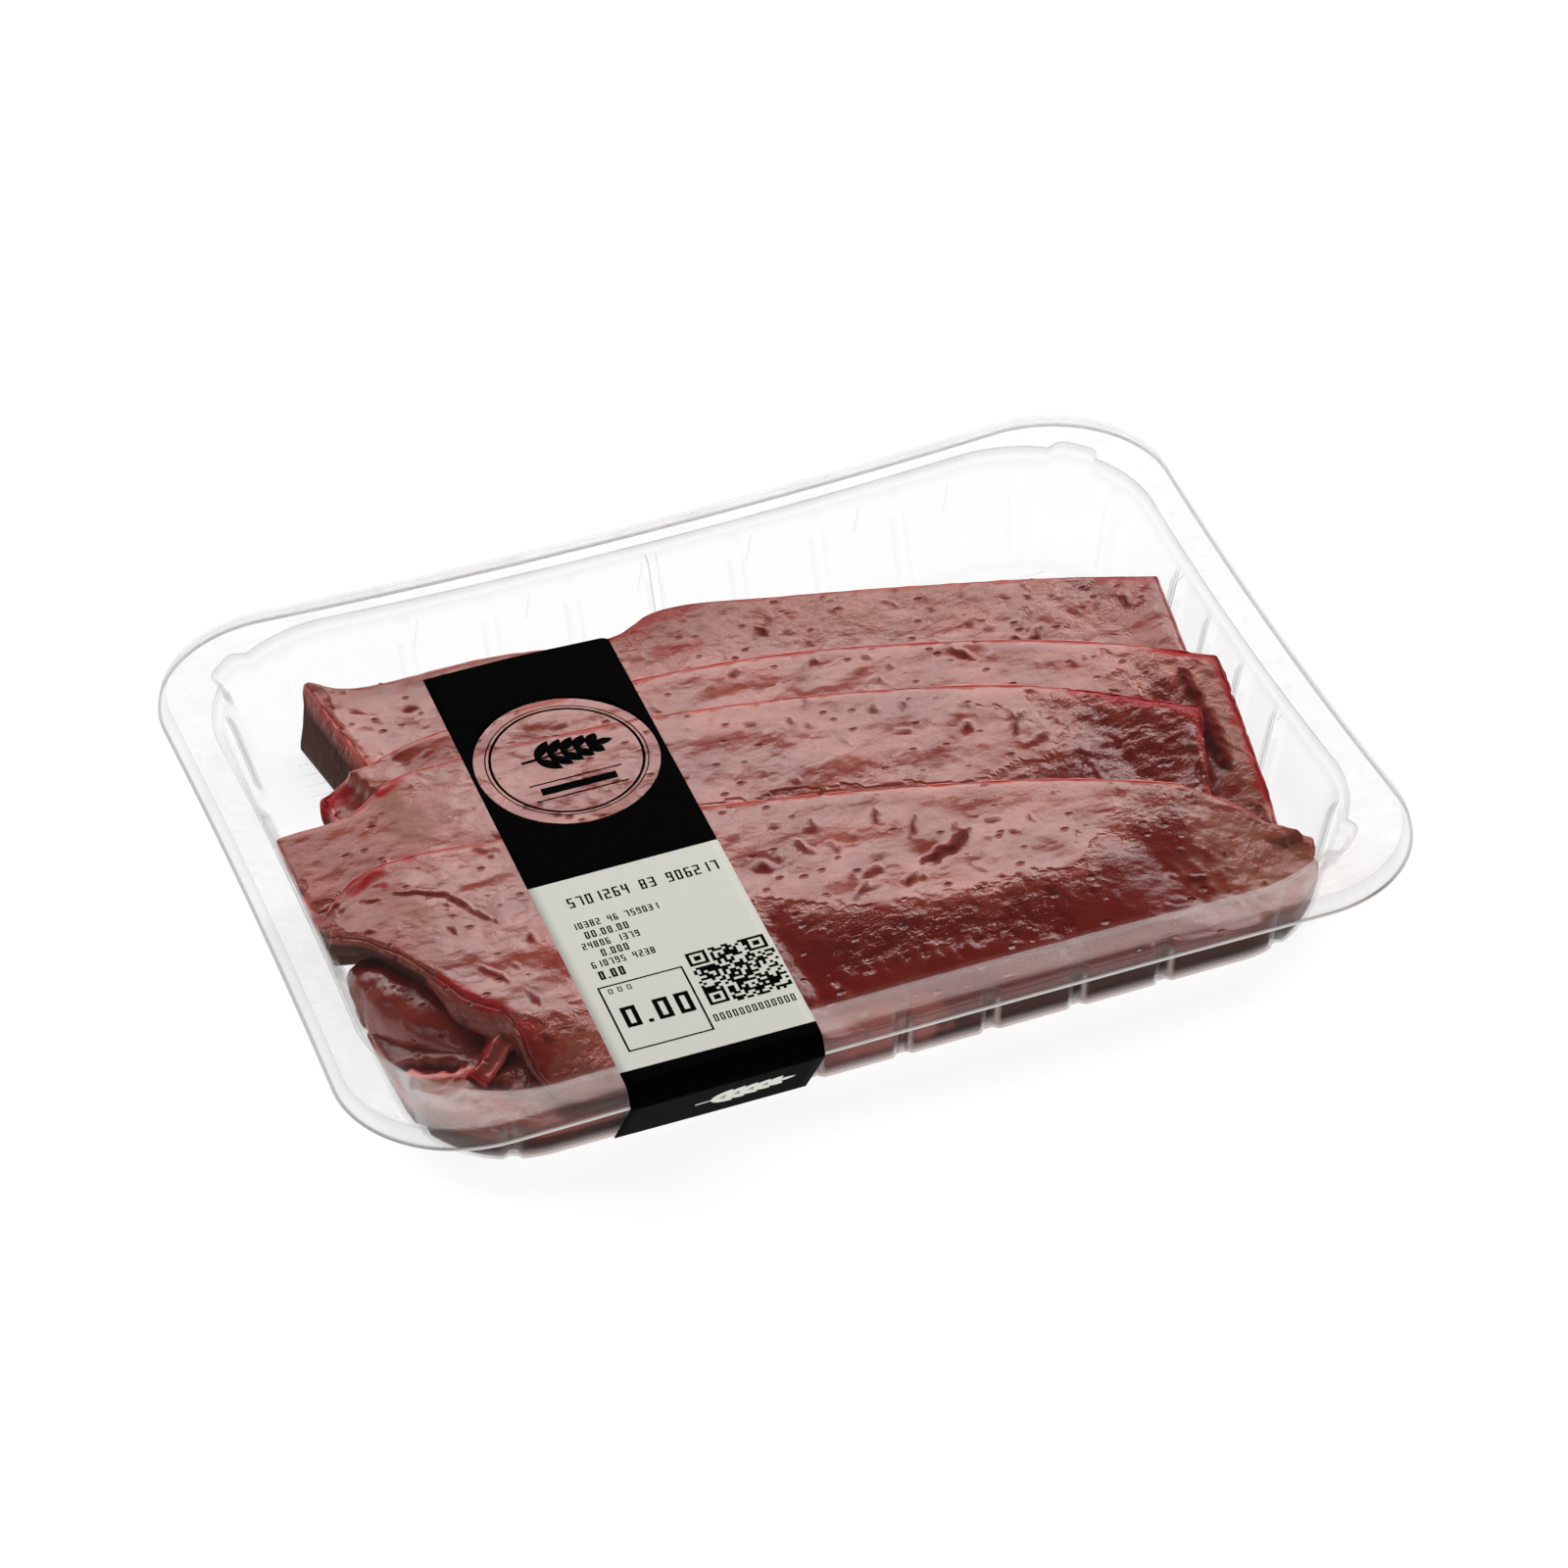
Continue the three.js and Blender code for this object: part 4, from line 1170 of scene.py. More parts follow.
def carve(points, marks, seed):
    """Depth and darkness that vessels and slits give each point; the darkness is partly painted shade,
    growing with a mark's depth. A mark is a run of plan points, its half width and its depth. Its sides
    wander and a slit narrows towards its ends."""
    depth_here = np.zeros(len(points))
    dark = np.zeros(len(points))
    flat = np.column_stack([points[:, :2], np.zeros(len(points))])
    wander = np.column_stack([Ripple(2.6, seed + 8).at(flat), Ripple(2.6, seed + 9).at(flat)])
    for run, width, deep in marks:
        run = np.asarray([run[0], run[0]] if len(run) == 1 else run, float)
        lengths = np.maximum(np.linalg.norm(np.diff(run, axis=0), axis=1), 1e-6)
        starts = np.concatenate([[0.0], np.cumsum(lengths)])
        near = np.flatnonzero(np.linalg.norm(points[:, :2] - run.mean(0), axis=1) < starts[-1] + 8 * width)
        if len(near) == 0:
            continue
        here = points[near, :2] + wander[near] * min(0.55, 0.7 * width)
        distance = np.full(len(near), np.inf)
        place = np.zeros(len(near))
        for a, b, size, start in zip(run, run[1:], lengths, starts):
            along = (b - a) / size
            t = np.clip((here - a) @ along, 0, size)
            away = np.linalg.norm(here - a - t[:, None] * along, axis=1)
            closer = away < distance
            place = np.where(closer, (start + t) / starts[-1], place)
            distance = np.minimum(distance, away)
        narrow = width * (0.5 + 0.5 * np.sin(np.pi * place)) if len(run) > 2 or starts[-1] > 1 else width
        hollow = np.exp(-((distance / narrow) ** 2))
        lip = np.exp(-(((distance - 2.0 * narrow) / (1.2 * narrow)) ** 2))
        depth_here[near] += deep * (0.10 * lip - hollow)
        # Painted shade: the darkness grows with a mark's depth.
        dark[near] = np.maximum(dark[near], np.exp(-((distance / (1.05 * narrow)) ** 4)) * min(1.0, 0.4 + deep))
    return depth_here, dark


def scattered_marks(draw, low, high, count, lean):
    """Random small vessels: mostly round pits, with some short slits that follow the grain."""
    marks = []
    for _ in range(count):
        place = draw.uniform(low, high)
        width = draw.uniform(0.26, 0.5)
        if draw.random() < 0.5:
            angle = math.radians(lean) + draw.normal() * 0.9
            long = draw.uniform(1.2, 4.2)
            end = place + long * np.array([math.cos(angle), math.sin(angle)])
            marks.append(([tuple(place), tuple(end)], width * 1.15, draw.uniform(0.15, 0.5)))
        else:
            marks.append(([tuple(place)], width * 1.1, draw.uniform(0.15, 0.6)))
    return marks


MARK_WIDTH = 0.82
MARK_DEPTH = 0.65
SIDE_LOOPS = 7


def slab_mesh(top, bottom, swell):
    """A closed slab from an upper and a lower grid. The rim is rounded and swells out between them."""
    rows, columns = top.shape[:2]
    upper = top.reshape(-1, 3)
    lower = bottom.reshape(-1, 3)
    faces = grid_faces(rows, columns).tolist()
    faces_below = [[i + len(upper) for i in reversed(f)] for f in faces]
    border = [i * columns for i in range(rows - 1)]
    border += [(rows - 1) * columns + j for j in range(columns - 1)]
    border += [i * columns + columns - 1 for i in range(rows - 1, 0, -1)]
    border += list(range(columns - 1, 0, -1))
    border = np.array(border)
    edge_top, edge_low = upper[border], lower[border]
    ahead = np.roll(edge_top, -2, axis=0) - np.roll(edge_top, 2, axis=0)
    out = np.column_stack([-ahead[:, 1], ahead[:, 0]])
    out /= np.maximum(np.linalg.norm(out, axis=1, keepdims=True), 1e-9)
    centre = upper[:, :2].mean(0)
    if ((edge_top[:, :2] - centre) * out).sum() < 0:
        out = -out
    thick = (edge_top[:, 2] - edge_low[:, 2])[:, None]
    loops = []
    turns = np.radians(np.linspace(18, 162, SIDE_LOOPS))
    for turn in turns:
        mid = (1 - math.cos(turn)) / 2
        bulge = math.sin(turn) ** 0.7 * np.minimum(swell, 0.3 * thick)
        loop = edge_top * (1 - mid) + edge_low * mid
        loop[:, :2] += out * bulge
        loops.append(loop)
    points = np.vstack([upper, lower, *loops])
    count = len(border)
    chain = [border] + [2 * len(upper) + k * count + np.arange(count) for k in range(len(turns))] + [border + len(upper)]
    side = []
    for a, b in zip(chain, chain[1:]):
        quads = np.stack([a, b, np.roll(b, -1), np.roll(a, -1)], 1)
        side += quads.tolist()
    everything = faces + faces_below + side
    if volume(points, everything) < 0:
        everything = [f[::-1] for f in everything]
    level = np.concatenate([np.zeros(len(upper)), np.full(len(lower), 1.0)]
                           + [np.full(count, (1 - math.cos(t)) / 2) for t in turns])
    return points, everything, level, len(upper), border


def volume(points, faces):
    quads = np.array([f for f in faces if len(f) == 4])
    a, b, c, d = (points[quads[:, k]] for k in range(4))
    return np.einsum("ij,ij->i", a, np.cross(b, c)).sum() + np.einsum("ij,ij->i", a, np.cross(c, d)).sum()


def outside(points, polygon):
    """How far plan points lie outside a polygon."""
    polygon = np.asarray(polygon, float)
    x, y = points[:, 0], points[:, 1]
    within = np.zeros(len(points), bool)
    distance = np.full(len(points), np.inf)
    for a, b in zip(polygon, np.roll(polygon, -1, axis=0)):
        distance = np.minimum(distance, segment_distance(points[:, :2], a, b))
        if a[1] != b[1]:
            crosses = (a[1] > y) != (b[1] > y)
            within ^= crosses & (x < a[0] + (y - a[1]) / (b[1] - a[1]) * (b[0] - a[0]))
    return np.where(within, 0.0, distance)


def ramp(distance, width):
    """Rises slowly from 0 over a width and then at a slope of 1."""
    return np.where(distance < width, distance**2 / (2 * width), distance - width / 2)


def run_distance(points, run):
    """Distance in plan from a run of places."""
    return np.min([segment_distance(points[:, :2], a, b) for a, b in zip(run, run[1:])], axis=0)


def soft_max(a, b, soft):
    """The higher of two heights, with a rounded passage between them."""
    return 0.5 * (a + b + np.sqrt((a - b) ** 2 + soft * soft))


ALONG = (0.7, 1.0, 1.0)


def lay_slice(pile, name, material, back, front, marks, paint, seed, flat_part=None, gentle=0.05, steep=0.34,
              crown=0.0, thick=11.0, rest=5.0, wave=0.3, grid=0.7, count=60, lean=-14.0, flare=0.0, ends=0.5,
              dents=(), skirt=()):
    """One slice: a slab between its back and its front edge. It falls gently over its flat part and steeply
    past it, down to the height of its front edge. Without a flat part it falls evenly, with a crown."""
    back_length = np.linalg.norm(np.diff(smooth_curve(back, 80), axis=0), axis=1).sum()
    columns = int(back_length / grid) + 1
    far = smooth_curve(back, columns)
    near = smooth_curve(front, columns)
    reach = np.linalg.norm((near - far)[:, :2], axis=1)
    rows = int(reach.mean() / grid) + 1
    t = np.linspace(0, 1, rows)[:, None]
    top = far[None] * (1 - t[..., None]) + near[None] * t[..., None]
    if flat_part is None:
        s = np.linspace(0, 1, columns)[None, :]
        top[..., 2] += crown * np.sin(np.pi * t) * np.sqrt(np.sin(np.pi * s))
        flat = top.reshape(-1, 3)
    else:
        flat = top.reshape(-1, 3)
        fallen = (far[None, :, 2] - gentle * t * reach[None, :]).ravel()
        fallen -= steep * ramp(outside(flat, flat_part), 5.0)
        flat[:, 2] = soft_max(fallen, np.broadcast_to(near[None, :, 2], (rows, columns)).ravel(), 2.0)
    for x, y, radius, deep in dents:
        flat[:, 2] -= deep * (1 - smoothstep(np.hypot(flat[:, 0] - x, flat[:, 1] - y) / radius))
    edge = edge_distance(rows, columns, grid)
    inner = smoothstep(edge / 9.0)
    flat[:, 2] += inner * (wave * Ripple(34.0, seed).at(flat) + 0.33 * wave * Ripple(13.0, seed + 1).at(flat))
    bed = pile.sample(pile.bed(rest), flat) + 0.15
    flat[:, 2] = np.maximum(flat[:, 2], bed + 0.5 + 1.4 * smoothstep(edge / 3.0))
    flat = inside_tray(flat)
    flat[:, 2] -= 0.6 * np.exp(-edge / 0.8)
    lower = flat.copy()
    lower[:, 2] = np.maximum(np.maximum(bed - 0.3, FLOOR), flat[:, 2] - thick)
    lower[:, 0] -= flare * np.tile(np.clip(1 - np.arange(columns) * grid / 6.0, 0, 1), rows)
    for x, y, radius, shift_x, shift_y in skirt:
        share = np.exp(-((np.hypot(flat[:, 0] - x, flat[:, 1] - y) / radius) ** 2))
        lower[:, :2] += share[:, None] * np.array([shift_x, shift_y])
    lower = inside_tray(lower)
    lower[:, 2] = np.minimum(lower[:, 2], flat[:, 2] - 0.35)
    shape = (rows, columns, 3)
    points, faces, level, upper_count, border = slab_mesh(flat.reshape(shape), lower.reshape(shape), 1.1)
    draw = np.random.default_rng(seed)
    spread = scattered_marks(draw, flat[:, :2].min(0), flat[:, :2].max(0), count, lean)
    named = [(run, width * MARK_WIDTH, deep * MARK_DEPTH) for run, width, deep in marks]
    hollow, dark = carve(points, named + spread, seed)
    weights = {key: np.zeros(len(points)) for key in ("pale", "blood", "rough", "bare", "worn", "rim")}
    beyond = outside(points, flat_part) if flat_part is not None else np.zeros(len(points))
    beyond = np.where(beyond > 0, beyond + 2.2 * Ripple(9.0, seed + 10).at(points), 0.0)
    # Painted light: the flat part, which faces the lamps, is painted pale, and past it the flesh fades to the darker
    # colour.
    weights["pale"] = (0.8 + 0.25 * Ripple(16.0, seed + 6).at(points)) * (1 - 0.85 * smoothstep((beyond - 1.0) / 6.0))
    weights["rough"] = 0.75 * np.exp(-(((beyond - 3.0) / 5.0) ** 2)) * (beyond > 0)
    ragged = 1 + 0.35 * Ripple(4.0, seed + 7).at(points)
    for key, strength, radius, run in paint:
        near_run = run_distance(points, run) * ragged / radius
        weights[key] = np.maximum(weights[key], strength * (1 - smoothstep((near_run - 0.5) / 0.6)))
    weights["blood"] *= 1 - 0.8 * smoothstep((level - 0.3) / 0.2)
    shown = (1 - level) ** 2
    normals = vertex_normals(points, faces)
    relief = (0.085 * Ripple(8.0, seed + 2, squeeze=ALONG).at(points)
              + 0.045 * Ripple(3.8, seed + 3, squeeze=ALONG).at(points)
              + 0.016 * Ripple(2.1, seed + 4, squeeze=ALONG).at(points)
              + weights["rough"] * 0.12 * Ripple(2.7, seed + 5, squeeze=ALONG).at(points)
              + weights["rough"] * 0.17 * Ripple(5.5, seed + 11, squeeze=ALONG).at(points))
    points = points + normals * ((relief + hollow) * shown)[:, None]
    points = inside_tray(points, 0.2, 0.6)
    pile.add(points[:upper_count])
    row_of = np.concatenate([np.repeat(np.arange(rows), columns)] * 2 + [border // columns] * SIDE_LOOPS)
    column_of = np.concatenate([np.tile(np.arange(columns), rows)] * 2 + [border % columns] * SIDE_LOOPS)
    # Painted highlight: a bright rim line along each slice's back edge and, by ends, along its ends.
    at_back = np.exp(-((row_of * grid / 0.6) ** 2))
    at_end = np.exp(-((np.minimum(column_of, columns - 1 - column_of) * grid / 0.7) ** 2)) * ends
    edges = np.maximum(at_back * 0.8, at_end) * (1 - smoothstep((level - 0.04) / 0.12))
    weights["rim"] = np.maximum(weights["rim"] * shown, edges)
    weights["cut"] = smoothstep((level - 0.06) / 0.2) * 0.92
    # Painted shade in the vessels' hollows.
    weights["pit"] = dark * shown
    against = near_wall(points)
    front_top = smoothstep((-points[:, 1] - 70.0) / 5.0) * (level < 0.05)
    weights["pressed"] = against * np.maximum(smoothstep((level - 0.05) / 0.15), front_top)
    # Painted shade: where the flesh lies against the front wall, out of the light, it takes the dark cut colour.
    weights["cut"] = np.maximum(weights["cut"], 0.8 * against * front_top) * (1 - weights.pop("bare"))
    return make_object(name, points, faces, material, weights=weights)


def near_wall(points):
    """1 where the flesh lies against the tray's wall, 0 a few millimetres inside it."""
    grown = inside_tray(points + np.column_stack([np.sign(points[:, :2]) * 3.0, np.zeros(len(points))]), 0.2, 0.6)
    free = np.linalg.norm((grown - points)[:, :2], axis=1)
    return 1 - smoothstep((free - 1.6) / 1.6)


def edge_distance(rows, columns, grid):
    i = np.arange(rows)[:, None]
    j = np.arange(columns)[None, :]
    nearest = np.minimum(np.minimum(i, rows - 1 - i) + 0 * j, np.minimum(j, columns - 1 - j) + 0 * i)
    return nearest.ravel() * grid


def make_roll(pile, material):
    """The dark rolled end of a slice: a bent, tapering roll with a cleft along its inner side."""
    spine = smooth_curve([(-94.5, -13.5, 7.0), (-92.0, -25.0, 8.4), (-87.0, -36.0, 8.2), (-78.0, -48.5, 6.5)], 50)
    along = np.gradient(spine, axis=0)
    along /= np.linalg.norm(along, axis=1, keepdims=True)
    side = np.column_stack([along[:, 1], -along[:, 0], np.zeros(len(spine))])
    side /= np.linalg.norm(side, axis=1, keepdims=True)
    up = np.cross(side, along)
    s = np.linspace(0, 1, len(spine))
    radius = np.interp(s, [0, 0.3, 0.6, 1], [6.0, 7.6, 7.6, 6.8]) * np.sqrt(np.clip(1 - (2 * s - 1) ** 8, 0.02, 1))
    turns = np.linspace(0, 2 * np.pi, 60, endpoint=False)
    rings = []
    for k in range(len(spine)):
        r = radius[k] * (1 - 0.20 * np.exp(-(((turns - 0.9 * np.pi) / 0.25) ** 2)))
        across = r * np.sign(np.cos(turns)) * np.abs(np.cos(turns)) ** 0.85
        upward = r * np.sign(np.sin(turns)) * np.abs(np.sin(turns)) ** 0.62
        ring = spine[k] + side[k] * across[:, None] + up[k] * upward[:, None]
        rings.append(ring)
    points = np.vstack(rings)
    points[:, 2] = np.maximum(points[:, 2], FLOOR)
    points = inside_tray(points)
    faces = [list(f) for f in grid_faces(len(spine), len(turns), closed=True)]
    last = (len(spine) - 1) * len(turns)
    points = np.vstack([points, spine[0] - along[0] * 0.6, spine[-1] + along[-1] * 0.6])
    n = len(turns)
    faces += [[(k + 1) % n, k, len(points) - 2] for k in range(n)]
    faces += [[last + k, last + (k + 1) % n, len(points) - 1] for k in range(n)]
    if volume(points, faces) < 0:
        faces = [f[::-1] for f in faces]
    normals = vertex_normals(points, faces)
    points = points + normals * (0.35 * Ripple(9.0, 51).at(points) + 0.12 * Ripple(3.5, 52).at(points))[:, None]
    points = inside_tray(points, 0.2, 0.6)
    pile.add(points)
    lateral = (points[:, 0] + 90.0) * 0.8 + (points[:, 1] + 31.0) * 0.55
    # Painted light and shade across the roll: the side tucked under the front slice is painted dark with the vessel
    # colour, and the other side paler.
    weights = {
        "rim": np.zeros(len(points)),
        "cut": np.zeros(len(points)),
        "pit": smoothstep((lateral - 1.6) / 3.0) * 0.95,
        "pale": smoothstep((-lateral) / 5.0) * 0.5,
        "blood": 0.2 * smoothstep((lateral + 1.0) / 2.0) * (1 - smoothstep((lateral - 2.0) / 3.0)),
        "pressed": near_wall(points) * smoothstep((8.0 - points[:, 2]) / 3.0),
    }
    return make_object("liver_rolled_end", points, faces, material, weights=weights)


S1_MARKS = [
    ([(16.8, 56.8), (17.6, 54.6)], 1.3, 1.3), ([(24.8, 48.4)], 1.1, 0.9), ([(14.9, 47.1), (13.9, 46.2)], 1.2, 1.0),
    ([(44.6, 54.4), (47.1, 51.5)], 0.6, 0.6), ([(53.1, 48.1)], 0.9, 0.7), ([(73.5, 43.3), (73.8, 41.2)], 0.6, 0.7),
    ([(78.0, 40.7)], 0.6, 0.6), ([(80.5, 35.7)], 0.8, 0.7), ([(64.6, 31.1), (70.6, 29.2), (73.1, 32.6)], 0.9, 1.3),
    ([(91.8, 32.7), (91.4, 29.5)], 1.1, 1.0), ([(-61.8, 60.2), (-60.0, 59.0)], 0.8, 0.8), ([(-68.9, 58.5)], 0.6, 0.5),
]
S2_MARKS = [
    ([(21.4, 35.0), (22.8, 35.6)], 0.9, 0.8), ([(36.2, 27.1)], 0.8, 0.7), ([(50.2, 28.0), (53.0, 23.5)], 0.8, 0.8),
    ([(72.7, 13.4)], 0.9, 0.6), ([(27.7, 22.8)], 0.7, 0.6), ([(79.9, 6.3), (78.0, 7.0)], 0.8, 0.6),
    ([(92.0, 0.0), (91.8, -14.0), (90.5, -28.0)], 2.2, 2.6),
]
S3_MARKS = [
    ([(42.7, -1.9)], 1.3, 1.3), ([(52.0, -0.2), (52.3, -4.3), (50.9, -8.0)], 0.8, 0.9),
    ([(55.1, -2.3), (52.3, -4.3)], 0.7, 0.8), ([(51.7, -11.9), (57.9, -10.3)], 0.9, 0.8), ([(26.5, 11.5)], 0.8, 0.7),
    ([(33.3, 10.4), (31.8, 9.3)], 0.8, 0.8), ([(9.0, 15.9), (9.6, 13.8)], 0.6, 0.7), ([(17.0, 4.2)], 0.6, 0.5),
]
S4_MARKS = [
    ([(29.9, -35.8), (25.7, -39.1), (19.9, -40.7), (17.5, -40.3)], 1.15, 1.6), ([(27.3, -32.6), (27.9, -36.0)], 0.8, 1.0),
    ([(12.4, -46.2), (15.2, -43.4)], 0.9, 1.0), ([(1.4, -45.8), (4.6, -42.9)], 1.0, 1.1),
    ([(4.7, -40.2), (9.2, -40.1)], 0.9, 0.9), ([(-12.7, -29.3)], 1.3, 1.2), ([(-4.4, -25.8), (-2.2, -29.5)], 0.7, 0.9),
    ([(-1.9, -23.1), (0.6, -23.2), (1.7, -20.2)], 0.7, 0.8), ([(14.1, -23.2), (13.0, -26.1)], 0.7, 0.8),
    ([(21.5, -27.0), (18.0, -32.7)], 0.8, 1.0), ([(7.5, -28.2)], 0.7, 0.6), ([(-8.4, -17.9), (-5.4, -19.6)], 0.5, 0.6),
    ([(25.8, -45.3), (28.2, -49.6)], 0.5, 0.6), ([(16.4, -54.3)], 0.8, 0.8), ([(19.2, -49.1)], 0.7, 0.6),
    ([(-85.0, -7.7), (-75.5, -12.8), (-68.3, -24.9)], 0.55, 0.8), ([(-63.6, -32.2)], 1.2, 1.2),
    ([(-75.6, -35.9), (-71.6, -42.5)], 0.7, 0.6), ([(-68.9, -46.9), (-68.3, -50.4)], 0.7, 0.6),
]


